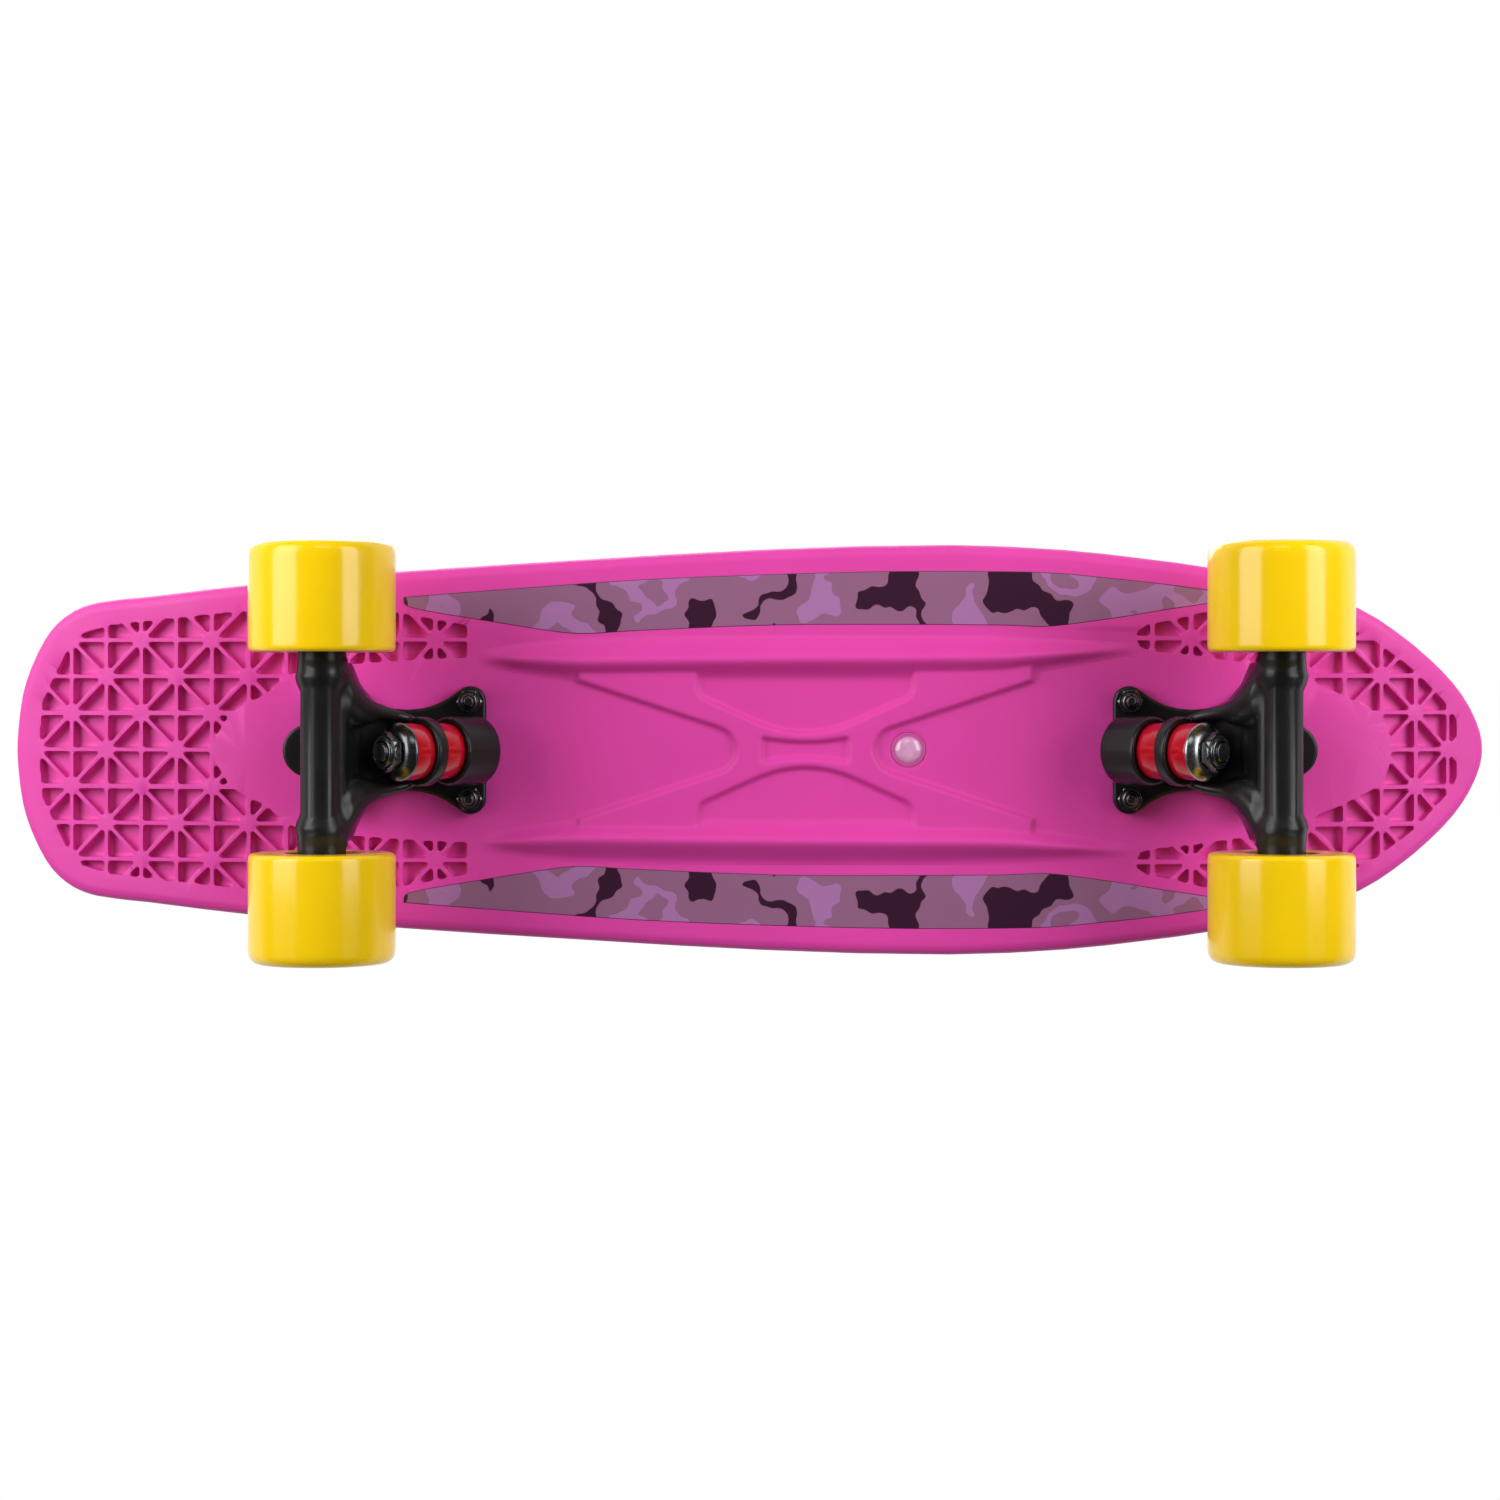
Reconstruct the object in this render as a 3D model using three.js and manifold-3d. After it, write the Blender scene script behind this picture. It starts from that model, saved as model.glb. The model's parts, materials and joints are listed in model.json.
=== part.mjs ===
import * as THREE from "three";
import { mergeVertices } from "three/addons/utils/BufferGeometryUtils.js";
import Module from "manifold-3d";

// A moulded plastic cruiser skateboard standing on its wheels, its nose towards +X.
// Millimetres, +Z up, the origin on the floor below the middle of the deck.

// General clearances
const fitGap = 0.3;
const cutOverrun = 2;
const weldDistance = 0.0001;

// Wheels, bearings and axles
const wheelRadius = 30;
const wheelWidth = 45;
const wheelInnerFace = 41;
const wheelInnerLip = 2.5;
const wheelOuterLip = 6;
const wheelSideWall = 10.5;
const wheelDish = 2.2;
const hubRadius = 15;
const hubDraft = 1.6;
const bearingRadius = 11;
const bearingBore = 4;
const bearingWidth = 7;
const bearingSpacing = 10.3;
const bearingShoulder = 2.4;
const axleRadius = 3.9;
const speedWasherRadius = 6.4;
const speedWasherThickness = 1;
const axleNutFlats = 12.7;
const axleNutHeight = 8;
const axleNutCollar = 2.6;
const axleEndShown = 0.6;

// Deck plate, measured along its underside before the ends are bent up
const deckMiddleX = 1.1;
const deckHalfLength = 322.1;
const deckHalfWidth = 87.8;
const deckThickness = 11;
const deckEdgeRound = 4;
const tailBendMargin = 8.2;
const tailBendRadius = 190;
const tailBendDegrees = 12;
const noseBendMargin = 3.9;
const noseBendRadius = 125;
const noseBendDegrees = 23;
const bendStepDegrees = 6;

// Sunk lattice in the underside
const latticeDepth = 4.5;
const latticeRib = 2.6;
const latticeHalfReach = 64;
const tailPitchX = 16;
const tailPitchY = 15.7;
const tailLineShare = -0.6684;
const tailSplitShare = -0.5685;
const tailStripPitchX = 14.6;
const tailStripLineShare = -0.466;
const nosePitchX = 16.4;
const nosePitchY = 15.9;
const noseLineShare = 0.5303;

// Ridges, raised cross, film strips and badge on the underside
const railHeight = 7;
const crossHeight = 2;
const crossMiddleShare = 0.07;
const crossHalfLengthShare = 0.2918;
const crossHalfWidthShare = 0.357;
const crossThroatShare = 0.091;
const crossThroatRound = 9;
const crossPocketHalf = 47;
const crossPocketTop = 7.5;
const crossWindowHalf = 18.4;
const crossWindowHalfWidth = 5.2;
const filmThickness = 0.5;
const filmSeatDepth = 0.8;
const badgePlaceShare = 0.2065;
const badgeRadius = 7.6;
const badgeDomeRadius = 5.6;
const badgeRimThickness = 0.9;
const badgeDomeRise = 0.7;
const badgeSeatDepth = 0.9;
const badgeShoulderShares = [0.6, 0.8];

// Trucks: places are from the axle, inboard along X and down from the deck's underside
const truckMiddleShare = 0.06225;
const wheelbaseShare = 1.21795;
const axleDrop = 57;
const boltSpacingX = 54;
const boltSpacingY = 41.3;
const boltRowX = 2;
const plateThickness = 5.5;
const plateLobeRadius = 6.7;
const plateWaistHalf = 17.2;
const plateSweep = 9;
const plateLobeDegrees = 130;
const pivotX = -10.5;
const pivotDrop = 11;
const pivotBossRadius = 11.3;
const pivotBossHeight = 20;
const pivotBossFace = 5.5;
const cupRadius = 7.2;
const cupDepth = 6;
const cupFloor = 1.5;
const stubRadius = 5.3;
const stubRootRadius = 7.5;
const stubTip = 4.2;
const stubRoot = 16;
const stubTipChamfer = 1.8;

// Kingpin stack, measured along the kingpin from the housing's mouth
const kingpinTiltDegrees = 43;
const housingMouthX = 48;
const housingMouthDrop = 27.4;
const housingRadius = 14.5;
const housingLength = 19;
const housingChamfer = 1.5;
const gussetHalf = 11;
const gussetFootX = 33;
const kingpinRadius = 4.7;
const kingpinHeadFlats = 14.3;
const kingpinHeadHeight = 5.5;
const kingpinHeadSink = 13;
const kingpinHeadClearance = 0.5;
const boardBushingShown = 10.9;
const roadBushingShown = 9.5;
const bushingRadius = 11.9;
const bushingChamfer = 0.9;
const bushingSeat = 1;
const ringThickness = 5.5;
const ringRadius = 14.5;
const ringBore = 6.3;
const washerThickness = 4;
const washerRadius = 12.2;
const washerEdge = 1;
const washerCrown = 8.6;
const kingpinNutHeight = 5.4;
const kingpinNutCollar = 2;
const kingpinEndShown = 0.9;

// Hanger casting
const tubeRadius = 9.9;
const tubeCollarRadius = 11.1;
const tubeCollarY = 31;
const tubeCollarHalf = 4.5;
const neckHalf = 9;
const neckRootBack = 6;
const neckHeelRise = 8;
const neckHeelInset = 2;
const armHalfReach = 37;
const armRootInset = 5.5;
const armRootLip = 1;
const armBack = 7.5;
const armBackRise = 3;
const armHeelRise = 6;
const armWasherClearance = 1.3;

// Mounting hardware
const boltRadius = 2.4;
const boltLength = 25.4;
const boltHeadRadius = 4.7;
const boltHeadHeight = 2.7;
const mountNutFlats = 9.5;
const mountNutHeight = 5.4;
const mountNutCollar = 1.6;

const deckUndersideZ = wheelRadius + axleDrop;
const alongDeck = (share) => deckMiddleX + share * deckHalfLength;
const axleX = {
  tail: alongDeck(truckMiddleShare - wheelbaseShare / 2),
  nose: alongDeck(truckMiddleShare + wheelbaseShare / 2),
};
const bossReach = pivotBossRadius - pivotX;
const tailBendStart = bossReach + tailBendMargin - axleX.tail;
const noseBendStart = bossReach + noseBendMargin + axleX.nose;
const tau = 2 * Math.PI;
const radians = THREE.MathUtils.degToRad;

const wasm = await Module();
wasm.setup();

// A closed mesh as a solid that can be joined and cut
function solid(geometry) {
  const bare = geometry.clone();
  bare.deleteAttribute("normal");
  bare.deleteAttribute("uv");
  const merged = mergeVertices(bare, weldDistance);
  return new wasm.Manifold(new wasm.Mesh({
    numProp: 3,
    vertProperties: merged.attributes.position.array,
    triVerts: Uint32Array.from(merged.index.array),
  }));
}

function geometryOf(body) {
  const { vertProperties, triVerts } = body.getMesh();
  const geometry = new THREE.BufferGeometry();
  geometry.setAttribute("position", new THREE.BufferAttribute(vertProperties, 3));
  geometry.setIndex(new THREE.BufferAttribute(triVerts, 1));
  return geometry;
}

const joined = (bodies) => bodies.reduce((sum, body) => sum.add(body));
const cutBy = (body, tools) => body.subtract(joined(tools));

// A round bar along Z
function rod(radius, fromZ, toZ, sides = 24) {
  const geometry = new THREE.CylinderGeometry(radius, radius, toZ - fromZ, sides);
  return geometry.rotateX(Math.PI / 2).translate(0, 0, (fromZ + toZ) / 2);
}

// A hexagon bar along Z, by its width across the flats
function hexBar(flats, fromZ, toZ) {
  return rod(flats / Math.sqrt(3), fromZ, toZ, 6);
}

// A turned solid along Z, from points of radius and height that run anticlockwise
function turned(profile, sides = 24) {
  const points = profile.map(([radius, height]) => new THREE.Vector2(radius, height));
  return new THREE.LatheGeometry(points, sides).rotateX(Math.PI / 2);
}

function ringProfile(profile) {
  return [...profile, profile[0]];
}

function block(fromX, toX, fromY, toY, fromZ, toZ) {
  const geometry = new THREE.BoxGeometry(toX - fromX, toY - fromY, toZ - fromZ);
  return geometry.translate((fromX + toX) / 2, (fromY + toY) / 2, (fromZ + toZ) / 2);
}

// A flat shape stood up from one height to another
function upright(shape, fromZ, toZ, curveSegments = 6) {
  const depth = toZ - fromZ;
  const geometry = new THREE.ExtrudeGeometry(shape, { depth, bevelEnabled: false, curveSegments });
  return geometry.translate(0, 0, fromZ);
}

// A side profile of X and Z, carried across the middle plane
function sideways(profile, halfWidth) {
  const shape = new THREE.Shape(profile.map(([x, z]) => new THREE.Vector2(x, z)));
  const geometry = new THREE.ExtrudeGeometry(shape, { depth: 2 * halfWidth, bevelEnabled: false });
  return geometry.rotateX(Math.PI / 2).translate(0, halfWidth, 0);
}

// A smooth closed outline through a few points
function smoothShape(points, stepsPerPoint) {
  const corners = points.map(([x, y]) => new THREE.Vector3(x, y, 0));
  const curve = new THREE.CatmullRomCurve3(corners, true, "centripetal");
  const samples = curve.getPoints(points.length * stepsPerPoint).slice(0, -1);
  return new THREE.Shape(samples.map(({ x, y }) => new THREE.Vector2(x, y)));
}

function straightShape(points) {
  return new THREE.Shape(points.map(([x, y]) => new THREE.Vector2(x, y)));
}

const withMirror = (points) => [...points, ...points.map(([x, y]) => [x, -y]).reverse()];
const flipY = (points) => points.map(([x, y]) => [x, -y]);

// A solid through equal rings of points, closed by a fan over each end
function lofted(rings) {
  const count = rings[0].length;
  const points = rings.flat();
  const faces = [];
  for (let i = 1; i < rings.length; i += 1) {
    for (let j = 0; j < count; j += 1) {
      const near = (i - 1) * count;
      const next = (j + 1) % count;
      faces.push([near + j, near + next, near + count + next]);
      faces.push([near + j, near + count + next, near + count + j]);
    }
  }
  const last = points.length - count;
  for (let j = 1; j < count - 1; j += 1) {
    faces.push([0, j + 1, j]);
    faces.push([last, last + j, last + j + 1]);
  }
  return indexed(points, faces);
}

function indexed(points, faces) {
  const geometry = new THREE.BufferGeometry();
  geometry.setAttribute("position", new THREE.Float32BufferAttribute(points.flat(), 3));
  geometry.setIndex(faces.flat());
  return geometry;
}

// Deck outline from the tail's end round one side to the nose's end
const outlineShares = [
  [-1, 0], [-0.9984, 0.1], [-0.992, 0.268], [-0.98, 0.401], [-0.959, 0.548],
  [-0.942, 0.622], [-0.918, 0.684], [-0.887, 0.722], [-0.81, 0.751], [-0.67, 0.805],
  [-0.474, 0.869], [-0.229, 0.927], [0.01, 0.977], [0.263, 1], [0.413, 0.976],
  [0.523, 0.932], [0.607, 0.889], [0.708, 0.81], [0.809, 0.691], [0.862, 0.583],
  [0.9155, 0.448], [0.953, 0.33], [0.979, 0.213], [0.996, 0.089], [1, 0],
];

function onDeck(shares) {
  return shares.map(([x, y]) => [alongDeck(x), y * deckHalfWidth]);
}

function deckSlab() {
  const side = onDeck(outlineShares);
  const outline = [...side, ...flipY(side.slice(1, -1)).reverse()];
  const geometry = new THREE.ExtrudeGeometry(smoothShape(outline, 2), {
    depth: deckThickness - 2 * deckEdgeRound,
    bevelThickness: deckEdgeRound,
    bevelSize: deckEdgeRound,
    bevelOffset: -deckEdgeRound,
    bevelSegments: 2,
  });
  return solid(geometry.translate(0, 0, deckEdgeRound));
}

// The lattice lies between an outer border and the smooth pad round each truck
const tailBorderShares = [
  [-0.962, 0], [-0.957, 0.23], [-0.947, 0.309], [-0.922, 0.481], [-0.9, 0.565], [-0.86, 0.605],
  [-0.67, 0.672], [-0.47, 0.662], [-0.37, 0.594], [-0.37, 0],
];
const tailPadShares = [
  [-0.716, 0], [-0.71, 0.088], [-0.693, 0.184], [-0.671, 0.234], [-0.645, 0.274], [-0.625, 0.345],
  [-0.609, 0.376], [-0.53, 0.423], [-0.459, 0.442], [-0.36, 0.458], [-0.36, 0],
];
const noseBorderShares = [
  [0.95, 0], [0.95, 0.139], [0.94, 0.202], [0.901, 0.329], [0.882, 0.388], [0.82, 0.541],
  [0.78, 0.6], [0.72, 0.66], [0.66, 0.684], [0.594, 0.66], [0.556, 0.624], [0.525, 0.606],
  [0.511, 0.572], [0.508, 0.535], [0.514, 0.505], [0.53, 0.487], [0.56, 0.476], [0.56, 0],
];
const nosePadShares = [
  [0.853, 0], [0.848, 0.09], [0.84, 0.152], [0.823, 0.199], [0.779, 0.278], [0.741, 0.335],
  [0.7, 0.385], [0.657, 0.428], [0.583, 0.467], [0.55, 0.478], [0.5, 0.48], [0.5, 0],
];

function latticeField(borderShares, padShares) {
  const border = straightShape(withMirror(onDeck(borderShares)));
  const pad = straightShape(withMirror(onDeck(padShares)));
  return cutBy(solid(upright(border, -cutOverrun, latticeDepth)), [
    solid(upright(pad, -2 * cutOverrun, latticeDepth + cutOverrun)),
  ]);
}

// Ribs of a lattice: both square directions, and diagonals that meet at every other crossing
function latticeRibs(lineX, pitchX, pitchY, fromX, toX) {
  const low = -2 * cutOverrun;
  const high = latticeDepth + cutOverrun;
  const half = latticeRib / 2;
  const reach = latticeHalfReach;
  const slope = Math.atan2(pitchY, pitchX);
  const first = Math.ceil((fromX - lineX) / pitchX);
  const last = Math.floor((toX - lineX) / pitchX);
  const rows = Math.floor(reach / pitchY);
  const bars = [];
  for (let row = -rows; row <= rows; row += 1) {
    const y = row * pitchY;
    bars.push(block(fromX, toX, y - half, y + half, low, high));
  }
  for (let line = first; line <= last; line += 1) {
    const x = lineX + line * pitchX;
    bars.push(block(x - half, x + half, -reach, reach, low, high));
  }
  for (let line = first - rows; line <= last + rows; line += 1) {
    if (line % 2 === 0) {
      for (const turn of [slope, -slope]) {
        const bar = block(-2 * reach, 2 * reach, -half, half, low, high);
        bars.push(bar.rotateZ(turn).translate(lineX + line * pitchX, 0, 0));
      }
    }
  }
  const zone = solid(block(fromX, toX, -reach, reach, 2 * low, 2 * high));
  return joined(bars.map(solid)).intersect(zone);
}

function latticePockets() {
  const tailEnd = -deckHalfLength;
  const half = latticeRib / 2;
  const tall = [-2 * cutOverrun, latticeDepth + cutOverrun];
  const tailSplitX = alongDeck(tailSplitShare);
  const stripLineX = alongDeck(tailStripLineShare);
  const tailRibs = [
    latticeRibs(alongDeck(tailLineShare), tailPitchX, tailPitchY, tailEnd, tailSplitX),
    latticeRibs(stripLineX, tailStripPitchX, tailPitchY, tailSplitX, 0),
    solid(block(tailSplitX - half, tailSplitX + half, -latticeHalfReach, latticeHalfReach, ...tall)),
  ];
  const noseLineX = alongDeck(noseLineShare);
  const noseRibs = [latticeRibs(noseLineX, nosePitchX, nosePitchY, 0, deckHalfLength)];
  return [
    cutBy(latticeField(tailBorderShares, tailPadShares), tailRibs),
    cutBy(latticeField(noseBorderShares, nosePadShares), noseRibs),
  ];
}

// Each ridge: X, then the outer foot, crest and inner foot in Y, and the crest's height
const railShares = [
  [-0.352, 0.47, 0.449, 0.427, 0.1], [-0.31, 0.5, 0.44, 0.39, 0.62], [-0.231, 0.527, 0.428, 0.35, 1],
  [-0.068, 0.542, 0.436, 0.356, 1], [0.064, 0.549, 0.441, 0.356, 1], [0.23, 0.546, 0.444, 0.356, 1],
  [0.33, 0.535, 0.447, 0.362, 1], [0.41, 0.52, 0.467, 0.42, 0.7], [0.5, 0.502, 0.492, 0.48, 0.1],
];
const railCrestHalfShare = 0.012;

function rail(side) {
  const rings = railShares.map(([xShare, outer, crest, inner, rise]) => {
    const x = alongDeck(xShare);
    const at = (share) => side * share * deckHalfWidth;
    const ring = [
      [x, at(outer), cutOverrun], [x, at(outer), 0],
      [x, at(crest + railCrestHalfShare), -rise * railHeight],
      [x, at(crest - railCrestHalfShare), -rise * railHeight],
      [x, at(inner), 0], [x, at(inner), cutOverrun],
    ];
    return side > 0 ? ring.reverse() : ring;
  });
  return solid(lofted(rings));
}

// The raised cross between the ridges, with its two bowed pockets and its window
const pocketEdgeShares = [[-1, -1], [-1, -0.8], [-0.8, -0.62], [-0.43, -0.18], [0, 0]];

function raisedCross() {
  const crossHalfLength = crossHalfLengthShare * deckHalfLength;
  const crossHalfWidth = crossHalfWidthShare * deckHalfWidth;
  const crossThroatHalf = crossThroatShare * deckHalfLength;
  const shape = new THREE.Shape();
  shape.moveTo(-crossHalfLength, -crossHalfWidth);
  shape.lineTo(crossHalfLength, -crossHalfWidth);
  shape.quadraticCurveTo(crossThroatHalf, -crossThroatRound, crossThroatHalf, 0);
  shape.quadraticCurveTo(crossThroatHalf, crossThroatRound, crossHalfLength, crossHalfWidth);
  shape.lineTo(-crossHalfLength, crossHalfWidth);
  shape.quadraticCurveTo(-crossThroatHalf, crossThroatRound, -crossThroatHalf, 0);
  shape.quadraticCurveTo(-crossThroatHalf, -crossThroatRound, -crossHalfLength, -crossHalfWidth);
  const depth = crossHalfWidth - crossPocketTop;
  const edge = pocketEdgeShares.map(([x, y]) => [x * crossPocketHalf, crossPocketTop - y * depth]);
  const bowed = [...edge, ...edge.slice(0, -1).reverse().map(([x, y]) => [-x, y])];
  const pocket = [[-crossPocketHalf, crossHalfWidth + cutOverrun], ...bowed,
    [crossPocketHalf, crossHalfWidth + cutOverrun]];
  const bow = crossWindowHalfWidth / 2;
  const window = new THREE.Shape();
  window.moveTo(-crossWindowHalf, -crossWindowHalfWidth);
  window.quadraticCurveTo(0, -bow, crossWindowHalf, -crossWindowHalfWidth);
  window.lineTo(crossWindowHalf, crossWindowHalfWidth);
  window.quadraticCurveTo(0, bow, -crossWindowHalf, crossWindowHalfWidth);
  const tool = (outline) => solid(upright(outline, -crossHeight - cutOverrun, 2 * cutOverrun));
  const plateau = solid(upright(shape, -crossHeight, cutOverrun, 8));
  const open = cutBy(plateau, [
    tool(straightShape(pocket)),
    tool(straightShape(flipY(pocket))),
    tool(window),
  ]);
  return open.translate([alongDeck(crossMiddleShare), 0, 0]);
}

// Film strips along both sides, each in its own shallow seat
const filmShares = [
  [-0.459, 0.717], [-0.455, 0.745], [-0.3, 0.79], [-0.148, 0.829], [0.024, 0.855],
  [0.198, 0.87], [0.375, 0.866], [0.46, 0.842], [0.541, 0.81], [0.607, 0.776], [0.662, 0.735],
  [0.607, 0.712], [0.541, 0.676], [0.483, 0.641], [0.395, 0.6], [0.331, 0.605],
  [0.198, 0.608], [0.028, 0.605], [-0.148, 0.579], [-0.218, 0.564], [-0.262, 0.574],
  [-0.36, 0.637], [-0.451, 0.69],
];

function filmOutline(side, shrink) {
  const points = onDeck(filmShares).map(([x, y]) => [x, side * y]);
  const shape = smoothShape(points, 1);
  if (shrink === 0) {
    return shape;
  }
  const corners = shape.getPoints();
  const turn = THREE.ShapeUtils.isClockWise(corners) ? -1 : 1;
  const inset = corners.map((corner, i) => {
    const before = corners[(i + corners.length - 1) % corners.length];
    const after = corners[(i + 1) % corners.length];
    const along = after.clone().sub(before).normalize();
    return corner.clone().add(new THREE.Vector2(-along.y, along.x).multiplyScalar(turn * shrink));
  });
  return new THREE.Shape(inset);
}

function filmStrip(side) {
  const seat = filmSeatDepth - fitGap;
  return upright(filmOutline(side, fitGap), seat - filmThickness, seat);
}

function badge() {
  const seat = badgeSeatDepth - fitGap;
  const rim = seat - badgeRimThickness;
  return turned([
    [0, rim - badgeDomeRise],
    [badgeShoulderShares[0] * badgeDomeRadius, rim - badgeShoulderShares[1] * badgeDomeRise],
    [badgeDomeRadius, rim], [badgeRadius - fitGap, rim], [badgeRadius - fitGap, seat], [0, seat],
  ], 18);
}

// Places of a truck's four mounting bolts in the truck's own frame
function boltPlaces() {
  const places = [];
  for (const x of [boltRowX, boltRowX + boltSpacingX]) {
    for (const y of [-boltSpacingY / 2, boltSpacingY / 2]) {
      places.push([x, y]);
    }
  }
  return places;
}

// Holes and countersinks through the deck for one truck
function deckBoltHoles(end) {
  const inboard = end === "tail" ? 1 : -1;
  const sink = boltHeadHeight + fitGap;
  const wide = boltHeadRadius + fitGap;
  const narrow = boltRadius + fitGap;
  const hole = turned([
    [0, -cutOverrun], [narrow, -cutOverrun], [narrow, deckThickness - sink],
    [wide, deckThickness], [wide, deckThickness + cutOverrun], [0, deckThickness + cutOverrun],
  ], 8);
  return boltPlaces().map(([x, y]) => solid(hole.clone().translate(axleX[end] + inboard * x, y, 0)));
}

// Cuts every face that crosses a plane of constant X, so that the plate can bend there
function splitAt(mesh, cutX) {
  const made = new Map();
  const side = (index) => {
    const offset = mesh.points[index][0] - cutX;
    return Math.abs(offset) < weldDistance ? 0 : Math.sign(offset);
  };
  const crossing = (a, b) => {
    const [low, high] = a < b ? [a, b] : [b, a];
    const key = `${low}/${high}`;
    if (!made.has(key)) {
      const p = mesh.points[low];
      const q = mesh.points[high];
      const share = (cutX - p[0]) / (q[0] - p[0]);
      made.set(key, mesh.points.push(p.map((value, axis) => value + share * (q[axis] - value))) - 1);
    }
    return made.get(key);
  };
  const fan = (ring) => ring.slice(2).map((corner, i) => [ring[0], ring[i + 1], corner]);
  const split = (face) => {
    const sides = face.map(side);
    if (!sides.includes(1) || !sides.includes(-1)) {
      return [face];
    }
    const halves = { "-1": [], "1": [] };
    face.forEach((corner, i) => {
      const next = (i + 1) % face.length;
      if (sides[i] <= 0) {
        halves["-1"].push(corner);
      }
      if (sides[i] >= 0) {
        halves["1"].push(corner);
      }
      if (sides[i] * sides[next] < 0) {
        const point = crossing(corner, face[next]);
        halves["-1"].push(point);
        halves["1"].push(point);
      }
    });
    return [...fan(halves["-1"]), ...fan(halves["1"])];
  };
  mesh.faces = mesh.faces.flatMap(split);
}

// Bends the plate up beyond a start line: an arc of one radius, then straight on
function bent([x, y, z], start, radius, degrees) {
  const sign = Math.sign(x);
  const past = Math.abs(x) - start;
  if (past <= 0) {
    return [x, y, z];
  }
  const angle = Math.min(past / radius, radians(degrees));
  const straight = past - radius * angle;
  const out = start + radius * Math.sin(angle) + straight * Math.cos(angle) - z * Math.sin(angle);
  const up = radius * (1 - Math.cos(angle)) + straight * Math.sin(angle) + z * Math.cos(angle);
  return [sign * out, y, up];
}

function bendEnds(geometry) {
  const { position } = geometry.attributes;
  const mesh = { points: [], faces: [] };
  for (let i = 0; i < position.count; i += 1) {
    mesh.points.push([position.getX(i), position.getY(i), position.getZ(i)]);
  }
  for (let i = 0; i < geometry.index.count; i += 3) {
    mesh.faces.push([0, 1, 2].map((corner) => geometry.index.getX(i + corner)));
  }
  const ends = [
    [-1, tailBendStart, tailBendRadius, tailBendDegrees],
    [1, noseBendStart, noseBendRadius, noseBendDegrees],
  ];
  for (const [sign, start, radius, degrees] of ends) {
    const steps = Math.ceil(degrees / bendStepDegrees);
    for (let step = 0; step <= steps; step += 1) {
      splitAt(mesh, sign * (start + radius * radians(degrees) * (step / steps)));
    }
  }
  const points = mesh.points.map((point) => {
    const end = ends[point[0] < 0 ? 0 : 1];
    return bent(point, ...end.slice(1));
  });
  return indexed(points, mesh.faces);
}

function deck() {
  const below = -railHeight - cutOverrun;
  const filmSeats = [-1, 1].map((side) => solid(upright(filmOutline(side, 0), below, filmSeatDepth)));
  const badgeSeat = rod(badgeRadius, below, badgeSeatDepth, 18);
  const plate = cutBy(deckSlab(), latticePockets());
  const whole = cutBy(joined([plate, rail(-1), rail(1), raisedCross()]), [
    ...filmSeats, solid(badgeSeat.translate(alongDeck(badgePlaceShare), 0, 0)),
    ...deckBoltHoles("tail"), ...deckBoltHoles("nose"),
  ]);
  return bendEnds(geometryOf(whole));
}

// Truck frames: along the kingpin towards the road, and along the steering axis
const kingpinTilt = radians(kingpinTiltDegrees);
const ringNear = boardBushingShown;
const ringFar = ringNear + ringThickness;
const washerNear = ringFar + roadBushingShown;
const nutNear = washerNear + washerThickness + fitGap;
const kingpinEnd = nutNear + kingpinNutHeight + kingpinEndShown;

const kingpinFrame = new THREE.Matrix4()
  .makeTranslation(housingMouthX, 0, -housingMouthDrop)
  .multiply(new THREE.Matrix4().makeRotationY(Math.PI + kingpinTilt));
const ringMiddle = new THREE.Vector3(0, 0, (ringNear + ringFar) / 2).applyMatrix4(kingpinFrame);
const pivot = new THREE.Vector3(pivotX, 0, -pivotDrop);
const steerDip = Math.atan2(pivot.z - ringMiddle.z, ringMiddle.x - pivot.x);
const steerFrame = new THREE.Matrix4()
  .makeTranslation(pivot.x, 0, pivot.z)
  .multiply(new THREE.Matrix4().makeRotationY(Math.PI / 2 + steerDip));

// A point of the side view, from its distance outside the kingpin and along it
function besideKingpin(outside, along) {
  const point = new THREE.Vector3(outside, 0, along).applyMatrix4(kingpinFrame);
  return [point.x, point.z];
}

function plateOutline() {
  const farX = boltRowX + boltSpacingX;
  const rowY = boltSpacingY / 2;
  const middleX = boltRowX + boltSpacingX / 2;
  const lean = radians(plateLobeDegrees);
  const leaveX = plateLobeRadius * Math.cos(lean);
  const leaveY = rowY + plateLobeRadius * Math.sin(lean);
  const sweepX = -plateSweep * Math.sin(lean);
  const sweepY = plateSweep * Math.cos(lean);
  const side = new THREE.Path();
  side.moveTo(farX + plateLobeRadius, 0);
  side.lineTo(farX + plateLobeRadius, rowY);
  side.absarc(farX, rowY, plateLobeRadius, 0, lean);
  side.bezierCurveTo(
    farX + leaveX + sweepX, leaveY + sweepY,
    middleX + plateSweep, plateWaistHalf,
    middleX, plateWaistHalf,
  );
  side.bezierCurveTo(
    middleX - plateSweep, plateWaistHalf,
    boltRowX - leaveX - sweepX, leaveY + sweepY,
    boltRowX - leaveX, leaveY,
  );
  side.absarc(boltRowX, rowY, plateLobeRadius, Math.PI - lean, Math.PI);
  side.lineTo(pivotX, pivotBossRadius);
  side.absarc(pivotX, 0, pivotBossRadius, Math.PI / 2, Math.PI);
  const half = side.getPoints(4);
  const mirrored = half.slice(1, -1).reverse().map(({ x, y }) => new THREE.Vector2(x, -y));
  return new THREE.Shape([...half, ...mirrored]);
}

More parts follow.
